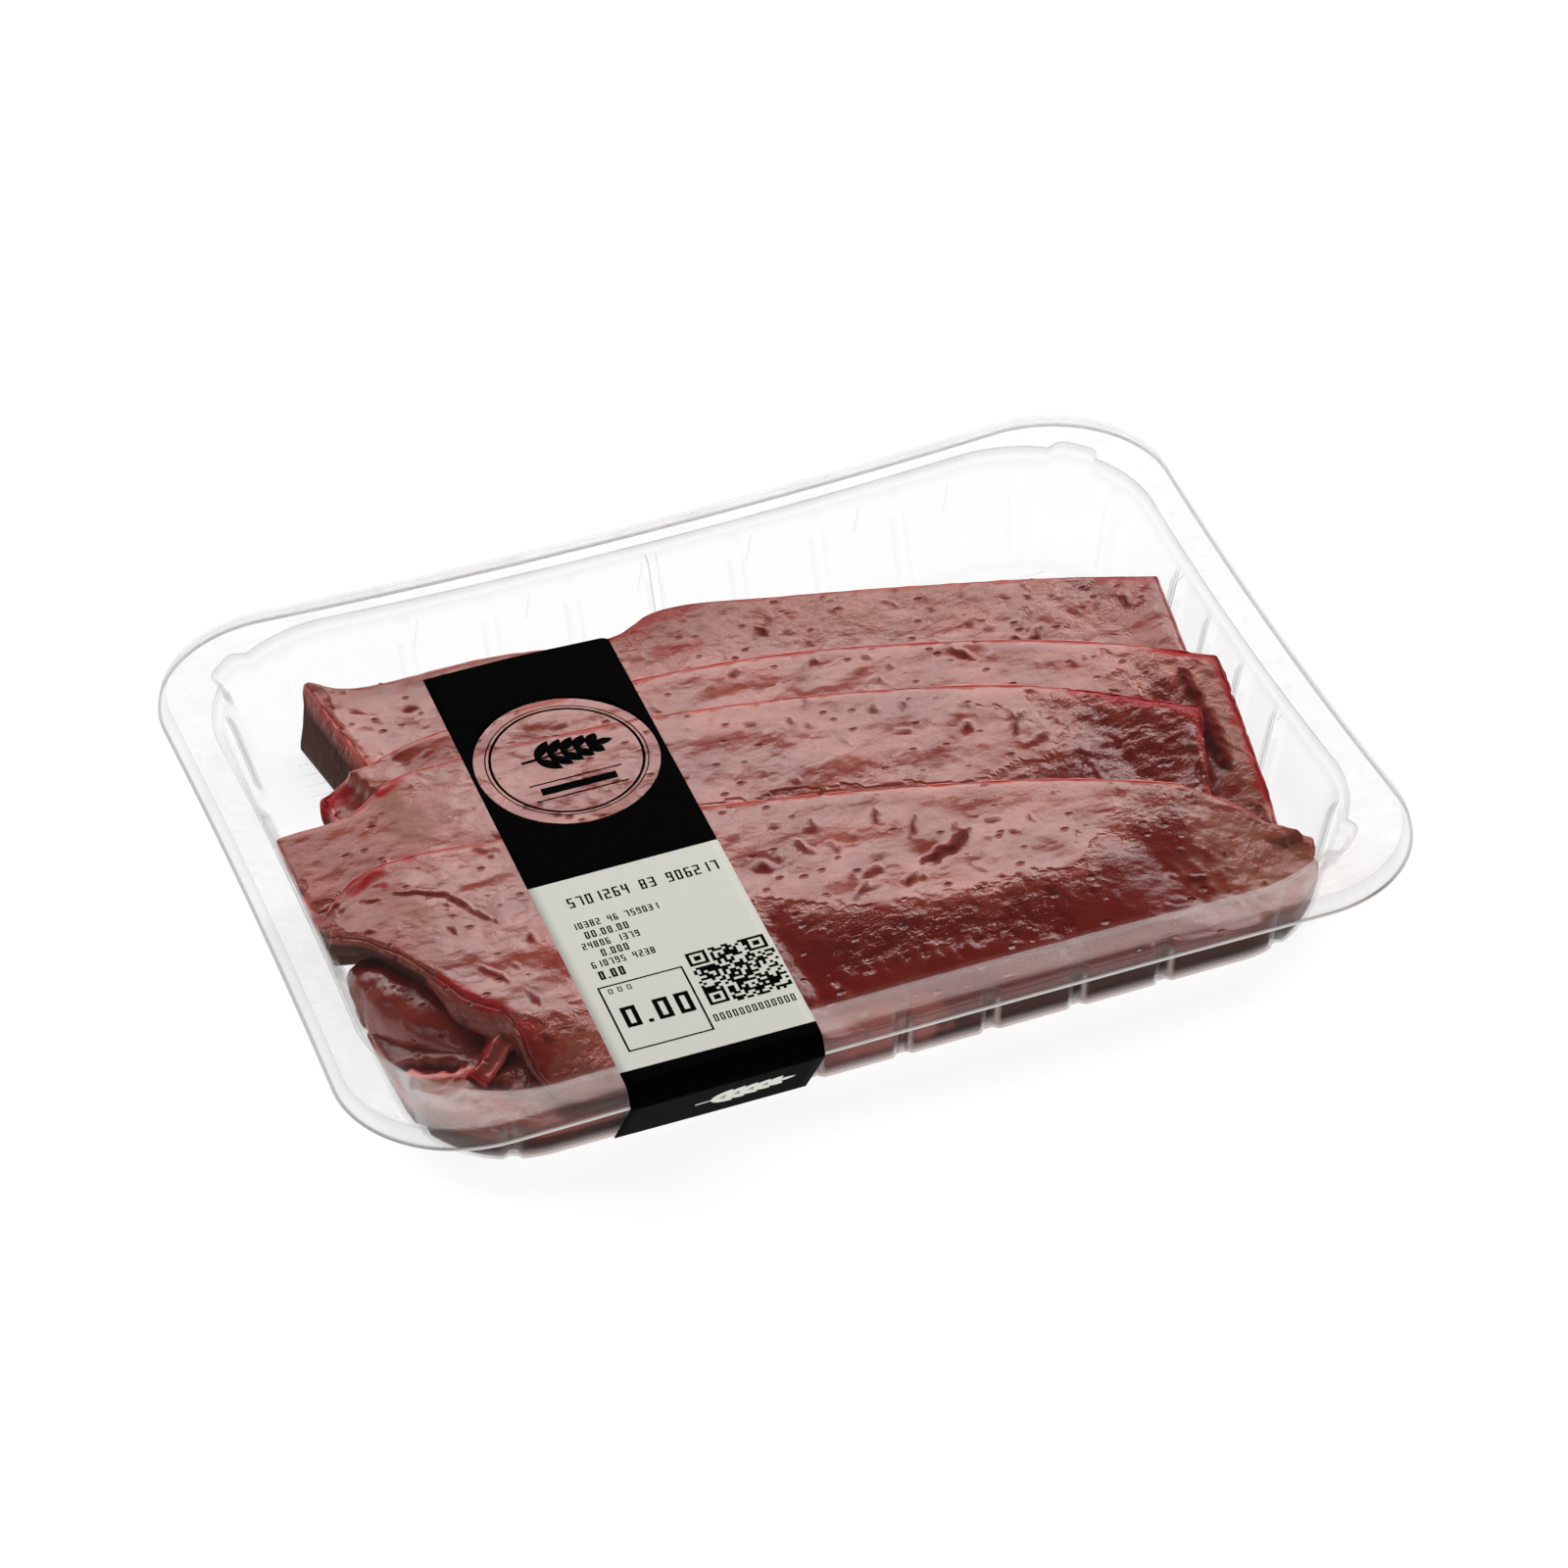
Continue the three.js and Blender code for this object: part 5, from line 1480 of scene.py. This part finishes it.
def make_liver(material):
    """Lays the pieces in from the bottom up, each on those before it."""
    pile = Pile()
    made = {}
    made["liver_fold"] = lay_slice(
        pile, "liver_lower_fold", material,
        back=[(-100, -20, 4.5), (-92, -26, 6.0), (-82, -32, 8.5), (-68, -38, 9.5), (-40, -46, 9)],
        front=[(-97, -57, 8), (-88, -69, 9.5), (-72, -78, 9.5), (-52, -80, 9), (-30, -80, 8)],
        crown=2.8, seed=11, wave=0.5, count=24,
        marks=[([(-97, -44), (-91, -49), (-85, -52.5)], 1.5, 2.2), ([(-79, -70)], 0.9, 0.8),
               ([(-84, -58), (-80, -62), (-78, -66)], 1.6, 1.6)],
        # The rim paint is a painted highlight along the fold's front edge.
        paint=[("rim", 0.8, 1.6, [(-96, -47), (-90, -51.5), (-84, -55)]), ("pale", 1.0, 8, [(-92, -54), (-84, -62)]),
               ("blood", 0.9, 2.4, [(-83, -62), (-79, -66)]), ("rough", 0.8, 8, [(-80, -64), (-70, -72)])])
    made["liver_roll"] = make_roll(pile, material)
    made["liver_slice_1"] = lay_slice(
        pile, "liver_first_slice", material,
        back=[(-80, 76, 14.5), (-72, 71.5, 13), (-40, 70.5, 12.2), (-14, 66.5, 12), (-1, 70.5, 13), (25, 65.5, 12.3),
              (63, 53.5, 12.8), (84, 45, 13.8), (100, 34, 17)],
        front=[(-74, 38, 7), (-40, 32, 7), (0, 22, 6), (40, 8, 6), (92, -22, 6)],
        flat_part=[(-76, 82), (104, 82), (104, -4), (86, 10), (60, 20), (21, 34), (-8, 39), (-78, 40)], gentle=0.06,
        steep=0.24,
        marks=S1_MARKS, seed=21, count=110, thick=12.5, flare=4.5,
        paint=[("blood", 0.6, 3.0, [(-22, 66), (5, 69)]), ("pale", 0.7, 9, [(-78, 68), (-72, 48)]),
               ("blood", 0.7, 2.2, [(92, 40), (100, 33)]), ("rough", 0.6, 7, [(78, 46), (86, 30)]),
               ("worn", 0.55, 11, [(-34, 66), (10, 62), (70, 47)]), ("rough", 0.3, 10, [(-30, 64), (60, 48)]),
               ("blood", 0.5, 2.0, [(-6, 57), (2, 56)])])
    made["liver_slice_2"] = lay_slice(
        pile, "liver_second_slice", material,
        back=[(-86, 43, 6), (-80, 44, 11), (-65, 44.5, 16), (-39, 45, 17), (-8, 44, 17), (21, 39.5, 17),
              (63, 25.5, 17), (85, 15, 16.5), (101, 3, 17)],
        front=[(-82, 12, 8), (-40, 4, 8), (0, -3, 8), (40, -14, 8), (92.5, -50, 11)],
        flat_part=[(-80, 52), (84, 48), (106, 24), (106, -32), (96, -34), (93, -6), (88, 4), (78, -2), (60, 2),
                   (25, 14), (-10, 22), (-61, 25), (-90, 20)],
        gentle=0.07, steep=0.27,
        marks=S2_MARKS, seed=31, count=90, ends=0.9,
        paint=[("blood", 1.0, 3.0, [(-87, 43), (-83, 40)]), ("blood", 0.9, 3.0, [(91, 10), (100, 3)]),
               ("blood", 0.8, 1.8, [(101, 3), (98, -18), (94, -40)]), ("rough", 1.0, 8, [(88, 8), (94, -10)]),
               ("worn", 0.8, 6, [(98, -4), (94, -40)])])
    made["liver_slice_3"] = lay_slice(
        pile, "liver_third_slice", material,
        back=[(-103, 25, 16), (-84, 24.5, 18), (-75, 29.5, 19.5), (-61, 30.5, 20), (-39, 30, 20), (-10, 26.5, 20),
              (25, 18.5, 20), (60, 5.5, 20), (90, -14, 19)],
        front=[(-100, -4, 9), (-60, -16, 9), (0, -28, 9), (45, -38, 9), (80, -46, 11)],
        flat_part=[(-104, 40), (-39, 36), (25, 26), (60, 12), (96, -12), (93, -16), (70, -3), (63, -6), (58, -13),
                   (40, -18), (20, -10), (0, -4), (-22, -3), (-60, 1), (-104, 4)],
        gentle=0.05, steep=0.30, marks=S3_MARKS, seed=41, count=80, thick=9.0, ends=1.0,
        paint=[("blood", 1.0, 3.4, [(70, 0.8), (80, -7), (89, -14.5)]), ("blood", 0.9, 1.5, [(90, -14), (86, -30)]),
               ("rough", 1.0, 9, [(66, -4), (76, -10), (88, -18)]), ("rough", 0.8, 9, [(70, -20), (84, -30)]),
               ("pale", 0.8, 9, [(-99, 22), (-98, 0)]), ("worn", 0.9, 5.5, [(-77, 24), (-73, 12)]),
               ("blood", 0.9, 1.5, [(-77, 27), (-73, 28.5)])])
    made["liver_slice_4"] = lay_slice(
        pile, "liver_front_slice", material,
        back=[(-102, -6, 18), (-91, 0.5, 21), (-78, 1.5, 22), (-61, -0.5, 22), (-22, -6.5, 22), (24, -18.5, 22.4),
              (60, -31.5, 22.3), (85, -44.5, 20.8), (98, -54, 17.5)],
        front=[(-100.5, -9, 14.5), (-92, -21, 16), (-86, -32, 15.5), (-80.5, -44, 14.5), (-75, -50.5, 14),
               (-74, -57, 11.5), (-73, -66, 9.5), (-68, -74, 9), (-58, -79, 9.5), (-40, -80, 11), (-15, -80, 12.5),
               (30, -80, 12.5), (66, -79, 12), (84, -75, 9.5), (95, -65, 9.5)],
        flat_part=[(-96, 8), (-60, 8), (-22, 3), (24, -10), (60, -24), (76, -35), (68, -42), (58, -44), (46, -53),
                   (33, -54), (17, -52.5), (1.4, -49), (-18, -38), (-34, -56), (-50, -70), (-58, -71), (-63, -65),
                   (-68, -58), (-73, -51), (-81, -44), (-87, -30), (-92, -20), (-98, -9)],
        gentle=0.035, steep=0.36, marks=S4_MARKS, seed=61, count=150, thick=12.0, grid=0.62,
        dents=((55, -47, 9, 0.8), (41, -50, 6, 0.4), (18, -40, 6, 0.45), (66, -44, 7, 0.4), (-3, -45, 8, 0.5),
               (6, -32, 7, 0.3), (-14, -31, 7, 0.35), (31, -33, 8, 0.35), (-74, -22, 9, 0.4), (-60, -45, 8, 0.4),
               (-70, -68, 13, 3.4), (-60, -78, 10, 1.5), (-100, -5, 15, 2.0), (2, -52, 5, 0.4),
               (28, -47, 5, 0.3), (-40, -30, 8, 0.3), (78, -42, 6, 0.3), (98, -54, 9, -1.6)),
        skirt=((-80, -43, 6, -2.4, -1.6), (-75.5, -50, 4, -1.6, -1.2)),
        paint=[("blood", 0.9, 2.2, [(-92, -2), (-86, 1)]), ("pale", 0.7, 16, [(86, -50), (88, -64)]),
               ("worn", 0.85, 15, [(84, -56), (90, -62)]), ("blood", 0.45, 3, [(-72.5, -56), (-71, -62)]),
               ("worn", 0.5, 9, [(-66, -64), (-58, -74)]), ("rough", 0.9, 8, [(-68, -62), (-60, -72)]),
               ("pale", 0.9, 7, [(-9, -74), (3, -76)]), ("bare", 0.9, 8, [(-14, -77), (2, -78)]),
               ("rough", 0.35, 12, [(84, -54), (88, -62)]), ("worn", 0.6, 4.5, [(-87, -10), (-80, -20)]),
               ("blood", 0.9, 1.3, [(-79.5, 1), (-78.6, 0.6)]),
               ("pale", 0.8, 7, [(-99, -8), (-90, -28)]), ("rough", 1.0, 7, [(-2, -55), (14, -59), (34, -62)]),
               ("rough", 0.5, 6, [(60, -46), (72, -38)]), ("bare", 0.9, 5, [(-84, -37), (-79, -46), (-75, -51)]),
               ("blood", 0.7, 1.4, [(-84, -36), (-78, -47), (-74, -50.5)])])
    made["flap"] = make_flap(material)
    return made


FLAP_LEFT = [(-78.8, -49.2, 14.6), (-80.9, -52.6, 14.0), (-83.1, -54.4, 12.6), (-86.0, -55.0, 11.2)]
FLAP_RIGHT = [(-72.8, -53.0, 15.8), (-76.4, -55.4, 15.0), (-79.2, -57.4, 13.4), (-83.0, -60.2, 11.6)]


def make_flap(material):
    """The thin curled edge that hangs from the front slice's corner over the lower fold."""
    rows, columns = 26, 18
    left, right = smooth_curve(FLAP_LEFT, rows), smooth_curve(FLAP_RIGHT, rows)
    across = np.linspace(0, 1, columns)
    top = left[:, None] * (1 - across[None, :, None]) + right[:, None] * across[None, :, None]
    top[..., 2] += 1.3 * np.exp(-(((across - 0.42) / 0.2) ** 2))[None, :]
    top[..., 2] -= 0.6 * np.exp(-((across / 0.12) ** 2))[None, :]
    flat = top.reshape(-1, 3)
    flat[:, 2] += 0.3 * Ripple(4.0, 71).at(flat)
    points, faces, level, _, border = slab_mesh(top, top - np.array([0.0, 0.0, 1.2]), 0.5)
    share = np.concatenate([np.tile(across, rows)] * 2 + [across[border % columns]] * SIDE_LOOPS)
    down = np.concatenate([np.repeat(np.arange(rows), columns)] * 2 + [border // columns] * SIDE_LOOPS) / (rows - 1)
    weights = {
        "pale": np.full(len(points), 0.9),
        # The rim weight is a painted highlight along the flap's curled edge.
        "rim": 0.15 + 0.5 * smoothstep((share - 0.8) / 0.2),
        "blood": np.maximum(1 - smoothstep((share - 0.1) / 0.3), 0.9 * smoothstep((down - 0.8) / 0.2)) * 0.9,
        "rough": np.full(len(points), 0.4),
    }
    return make_object("liver_edge_flap", points, faces, material, weights=weights)


# ---------------------------------------------------------------------------------------------------------
# Geometry Nodes: what repeats along a line or is scattered over a surface
# ---------------------------------------------------------------------------------------------------------
class Growth:
    """A node group with named inputs. make runs it on a mesh and gives back a plain mesh object."""

    def __init__(self, name, inputs):
        self.group = bpy.data.node_groups.new(name, "GeometryNodeTree")
        self.group.interface.new_socket(name="Geometry", in_out="INPUT", socket_type="NodeSocketGeometry")
        self.group.interface.new_socket(name="Geometry", in_out="OUTPUT", socket_type="NodeSocketGeometry")
        self.sockets = {}
        for label, kind in inputs.items():
            socket = self.group.interface.new_socket(name=label, in_out="INPUT", socket_type="NodeSocket" + kind)
            self.sockets[label] = socket.identifier
        self.entry = self.group.nodes.new("NodeGroupInput")
        self.exit = self.group.nodes.new("NodeGroupOutput")

    def node(self, kind, settings=None, **inputs):
        made = self.group.nodes.new(kind)
        for key, value in (settings or {}).items():
            setattr(made, key, value)
        for key, value in inputs.items():
            socket = made.inputs[key.replace("_", " ")]
            if isinstance(value, bpy.types.NodeSocket):
                self.group.links.new(value, socket)
            else:
                socket.default_value = value
        return made

    def given(self, label):
        return self.entry.outputs[label]

    def close(self, geometry):
        real = self.node("GeometryNodeRealizeInstances", Geometry=geometry)
        dressed = self.node("GeometryNodeSetMaterial", Geometry=real.outputs[0], Material=self.given("Material"))
        self.group.links.new(dressed.outputs[0], self.exit.inputs[0])
        return self

    def make(self, name, mesh, **values):
        carrier = bpy.data.objects.new(name + "_carrier", mesh)
        bpy.context.scene.collection.objects.link(carrier)
        modifier = carrier.modifiers.new("growth", "NODES")
        modifier.node_group = self.group
        for label, value in values.items():
            modifier[self.sockets[label]] = value
        ready = carrier.evaluated_get(bpy.context.evaluated_depsgraph_get())
        grown = bpy.data.meshes.new_from_object(ready)
        carrier.modifiers.remove(modifier)
        bpy.data.objects.remove(carrier)
        grown.name = name
        grown.shade_smooth()
        made = bpy.data.objects.new(name, grown)
        bpy.context.scene.collection.objects.link(made)
        return made


def rods():
    """Thin round rods, one at every point of a mesh, each along the same vector Length."""
    tree = Growth("rods", {"Radius": "Float", "Length": "Vector", "Material": "Material"})
    line = tree.node("GeometryNodeCurvePrimitiveLine", End=tree.given("Length"))
    round_profile = tree.node("GeometryNodeCurvePrimitiveCircle", Resolution=8, Radius=tree.given("Radius"))
    rod = tree.node("GeometryNodeCurveToMesh", Curve=line.outputs[0], Profile_Curve=round_profile.outputs[0], Fill_Caps=True)
    placed = tree.node("GeometryNodeInstanceOnPoints", Points=tree.given("Geometry"), Instance=rod.outputs[0])
    return tree.close(placed.outputs[0])


def droplets():
    """Flattened drops scattered over a patch of faces."""
    tree = Growth("droplets", {"Density": "Float", "Smallest": "Float", "Largest": "Float", "Seed": "Int",
                               "Material": "Material"})
    points = tree.node("GeometryNodeDistributePointsOnFaces", Mesh=tree.given("Geometry"), Density=tree.given("Density"),
                       Seed=tree.given("Seed"))
    drop = tree.node("GeometryNodeMeshIcoSphere", Radius=1.0, Subdivisions=2)
    size = tree.node("FunctionNodeRandomValue", {"data_type": "FLOAT"}, Seed=tree.given("Seed"))
    tree.group.links.new(tree.given("Smallest"), size.inputs[2])
    tree.group.links.new(tree.given("Largest"), size.inputs[3])
    flat = tree.node("ShaderNodeVectorMath", {"operation": "SCALE"}, Vector=(1.0, 1.0, 0.55), Scale=size.outputs[1])
    placed = tree.node("GeometryNodeInstanceOnPoints", Points=points.outputs["Points"], Instance=drop.outputs[0],
                       Rotation=points.outputs["Rotation"], Scale=flat.outputs[0])
    return tree.close(placed.outputs[0])


def point_mesh(name, points):
    mesh = bpy.data.meshes.new(name)
    mesh.from_pydata((np.asarray(points, float) * MM).tolist(), [], [])
    return mesh


def patch_mesh(name, piece, discs):
    """The upward faces of a piece whose middle lies within one of the discs (x, y and radius)."""
    source = piece.data
    chosen = []
    for polygon in source.polygons:
        x, y = polygon.center.x / MM, polygon.center.y / MM
        if polygon.normal.z > 0.3 and any((x - a) ** 2 + (y - b) ** 2 < r * r for a, b, r in discs):
            chosen.append(list(polygon.vertices))
    used = sorted({v for face in chosen for v in face})
    index = {v: k for k, v in enumerate(used)}
    mesh = bpy.data.meshes.new(name)
    mesh.from_pydata([source.vertices[v].co[:] for v in used], [], [[index[v] for v in face] for face in chosen])
    return mesh


RIB_PITCH = 3.7
RIB_COUNT = 36
RIB_LENGTH = 172.0
TICKS = (-54.7, -29.2, -3.6, 21.5, 46.5, 67.4)


def make_ribs(material):
    """Low ribs along the base's underside face."""
    places = [(-RIB_LENGTH / 2, (k - (RIB_COUNT - 1) / 2) * RIB_PITCH, SHEET + 0.02) for k in range(RIB_COUNT)]
    return rods().make("base_ribs", point_mesh("rib_places", places), Radius=0.16 * MM,
                       Length=(RIB_LENGTH * MM, 0.0, 0.0), Material=material)


def make_ticks(material):
    """Short slanting strokes that the forming left on the back wall."""
    _, hy = half_sizes()
    y = hy - FLANGE - LEDGE_WIDTH - 1.2
    places = [(x, y - LONG_BOW * 0.3, depth() - 11.5) for x in TICKS]
    return rods().make("wall_ticks", point_mesh("tick_places", places), Radius=0.17 * MM,
                       Length=(1.6 * MM, 0.9 * MM, 6.0 * MM), Material=material)


DROP_DISCS = {
    "liver_slice_4": [(16, -63, 6), (30, -66, 5), (-8, -62, 4), (48, -62, 4), (2, -56, 3), (-66, -63, 4), (-62, -70, 4)],
    "liver_slice_3": [(74, -5, 3), (80, -9, 3), (86, -16, 3), (84, -26, 3)],
    "liver_fold": [(-68, -62, 4), (-66, -70, 4), (-76, -66, 3)],
}


def make_drops(pieces, material):
    """Small drops of juice that sparkle on the wet slices."""
    tree = droplets()
    made = []
    for seed, (node, discs) in enumerate(DROP_DISCS.items(), 3):
        patch = patch_mesh(node + "_patch", pieces[node], discs)
        made.append(tree.make("drops_on_" + pieces[node].name, patch, Density=260000.0, Smallest=0.0001,
                              Largest=0.00034, Seed=seed, Material=material))
    return made


# ---------------------------------------------------------------------------------------------------------
# Operators
# ---------------------------------------------------------------------------------------------------------
SLICE_NODES = ("liver_fold", "liver_roll", "liver_slice_1", "liver_slice_2", "liver_slice_3", "liver_slice_4")


class PACK_OT_tray(bpy.types.Operator):
    """Forms the clear tray with its rim, ledge, flutes, lugs and base"""

    bl_idname = "liver_pack.tray"
    bl_label = "Tray"

    def execute(self, context):
        plastic = plastic_material()
        dress(make_tray(plastic), "clear_plastic", "tray")
        for piece in (make_ribs(plastic), make_ticks(plastic)):
            dress(piece, "clear_plastic")
        return {"FINISHED"}


class PACK_OT_film(bpy.types.Operator):
    """Stretches the lidding film over the tray"""

    bl_idname = "liver_pack.film"
    bl_label = "Film"

    def execute(self, context):
        dress(make_film(film_material()), "clear_film", "film")
        return {"FINISHED"}


class PACK_OT_label(bpy.types.Operator):
    """Lays the label band over the film and down the front"""

    bl_idname = "liver_pack.label"
    bl_label = "Label"

    def execute(self, context):
        look = context.scene.pack_look
        black = paper_material("label_black", tuple(look.black))
        white = paper_material("label_white", tuple(look.white))
        for piece in make_label(black, white, film_material()):
            clear = piece.name == "label_window_pane"
            piece.visible_glossy = False
            piece.visible_shadow = False
            dress(piece, "clear_film" if clear else "printed_paper", "label")
        return {"FINISHED"}


class PACK_OT_liver(bpy.types.Operator):
    """Lays the liver slices in the tray"""

    bl_idname = "liver_pack.liver"
    bl_label = "Liver"

    def execute(self, context):
        made = make_liver(liver_material())
        for node in SLICE_NODES:
            dress(made[node], "liver", node)
        for piece in (made["flap"], *make_drops(made, juice_material())):
            dress(piece, "liver")
        return {"FINISHED"}


CAMERA_AZIMUTH = math.radians(-17.77)
CAMERA_ELEVATION = math.radians(39.10)
CAMERA_ROLL = math.radians(-3.54)
CAMERA_SHIFT = (-2.494, 7.330)
CAMERA_DISTANCE = 1305.445
FOCAL_PIXELS = 6430.43
PHOTO_WIDTH = 1600
SENSOR = 36.0


class PACK_OT_stage(bpy.types.Operator):
    """Sets the camera, the floor and the soft studio light"""

    bl_idname = "liver_pack.stage"
    bl_label = "Stage"

    def execute(self, context):
        self.camera(context.scene)
        self.floor(context.scene)
        self.lights(context.scene)
        return {"FINISHED"}

    @staticmethod
    def camera(scene):
        az, el, roll = CAMERA_AZIMUTH, CAMERA_ELEVATION, CAMERA_ROLL
        back = Vector((math.sin(az) * math.cos(el), -math.cos(az) * math.cos(el), math.sin(el)))
        right = Vector((math.cos(az), math.sin(az), 0.0))
        up = back.cross(right)
        turned_right = math.cos(roll) * right + math.sin(roll) * up
        turned_up = math.cos(roll) * up - math.sin(roll) * right
        aim = Vector((0.0, 0.0, depth()))
        place = aim - turned_right * CAMERA_SHIFT[0] - turned_up * CAMERA_SHIFT[1] + back * CAMERA_DISTANCE
        data = bpy.data.cameras.new("camera")
        data.lens = FOCAL_PIXELS / PHOTO_WIDTH * SENSOR
        data.sensor_width = SENSOR
        data.clip_end = 20.0
        camera = bpy.data.objects.new("camera", data)
        axes = Matrix((turned_right, turned_up, back)).transposed()
        camera.matrix_world = Matrix.Translation(place * MM) @ axes.to_4x4()
        scene.collection.objects.link(camera)
        scene.camera = camera

    @staticmethod
    def floor(scene):
        reach = 6000.0
        points = [(-reach, -reach, -0.05), (reach, -reach, -0.05), (reach, reach, -0.05), (-reach, reach, -0.05)]
        make_object("floor", points, [[0, 1, 2, 3]], floor_material(), smooth=False)

    @staticmethod
    def lights(scene):
        aim = Vector((0.0, 0.0, 0.015))

        def panel(name, azimuth, elevation, distance, width, height, radiance, tint=(1.0, 1.0, 1.0)):
            az, el = math.radians(azimuth), math.radians(elevation)
            place = aim + Vector((math.sin(az) * math.cos(el), math.cos(az) * math.cos(el), math.sin(el))) * distance
            data = bpy.data.lights.new(name, "AREA")
            data.shape = "RECTANGLE"
            data.size = width
            data.size_y = height
            data.energy = radiance * math.pi * width * height
            data.color = tint
            lamp = bpy.data.objects.new(name, data)
            lamp.matrix_world = Matrix.Translation(place) @ (aim - place).to_track_quat("-Z", "Y").to_matrix().to_4x4()
            scene.collection.objects.link(lamp)
            return lamp

        panel("softbox_back_right", 38.2, 35.4, 1.576, 1.25, 0.95, 4.3, (1.0, 0.985, 0.96))
        panel("softbox_back_left", -10.2, 34.5, 1.612, 1.05, 0.95, 2.8, (1.0, 0.985, 0.96))
        high = panel("softbox_high", 30.0, 52.0, 1.8, 1.2, 0.8, 3.0)
        high.visible_glossy = False
        panel("softbox_left", -110.0, 35.0, 1.8, 0.8, 0.8, 1.2)
        scene.world = studio_world()
        scene.view_settings.view_transform = "Standard"
        scene.cycles.transparent_max_bounces = 32


class PACK_PT_panel(bpy.types.Panel):
    """Lists the pack's properties and its operators"""

    bl_label = "Liver pack"
    bl_idname = "PACK_PT_panel"
    bl_space_type = "VIEW_3D"
    bl_region_type = "UI"
    bl_category = "Liver pack"

    def draw(self, context):
        scene = context.scene
        for group in (scene.pack_sizes, scene.liver_look, scene.pack_look):
            box = self.layout.box()
            for key in group.__annotations__:
                box.prop(group, key)
        for operator in OPERATORS:
            self.layout.operator(operator.bl_idname)


PROPERTIES = (PackSizes, LiverLook, PackLook)
OPERATORS = (PACK_OT_stage, PACK_OT_tray, PACK_OT_liver, PACK_OT_film, PACK_OT_label)


def register():
    for cls in (*PROPERTIES, *OPERATORS, PACK_PT_panel):
        bpy.utils.register_class(cls)
    bpy.types.Scene.pack_sizes = bpy.props.PointerProperty(type=PackSizes)
    bpy.types.Scene.liver_look = bpy.props.PointerProperty(type=LiverLook)
    bpy.types.Scene.pack_look = bpy.props.PointerProperty(type=PackLook)


def unregister():
    del bpy.types.Scene.pack_sizes
    del bpy.types.Scene.liver_look
    del bpy.types.Scene.pack_look
    for cls in reversed((*PROPERTIES, *OPERATORS, PACK_PT_panel)):
        bpy.utils.unregister_class(cls)


def main():
    register()
    bpy.ops.liver_pack.stage()
    bpy.ops.liver_pack.tray()
    bpy.ops.liver_pack.liver()
    bpy.ops.liver_pack.film()
    bpy.ops.liver_pack.label()


if __name__ == "__main__":
    main()
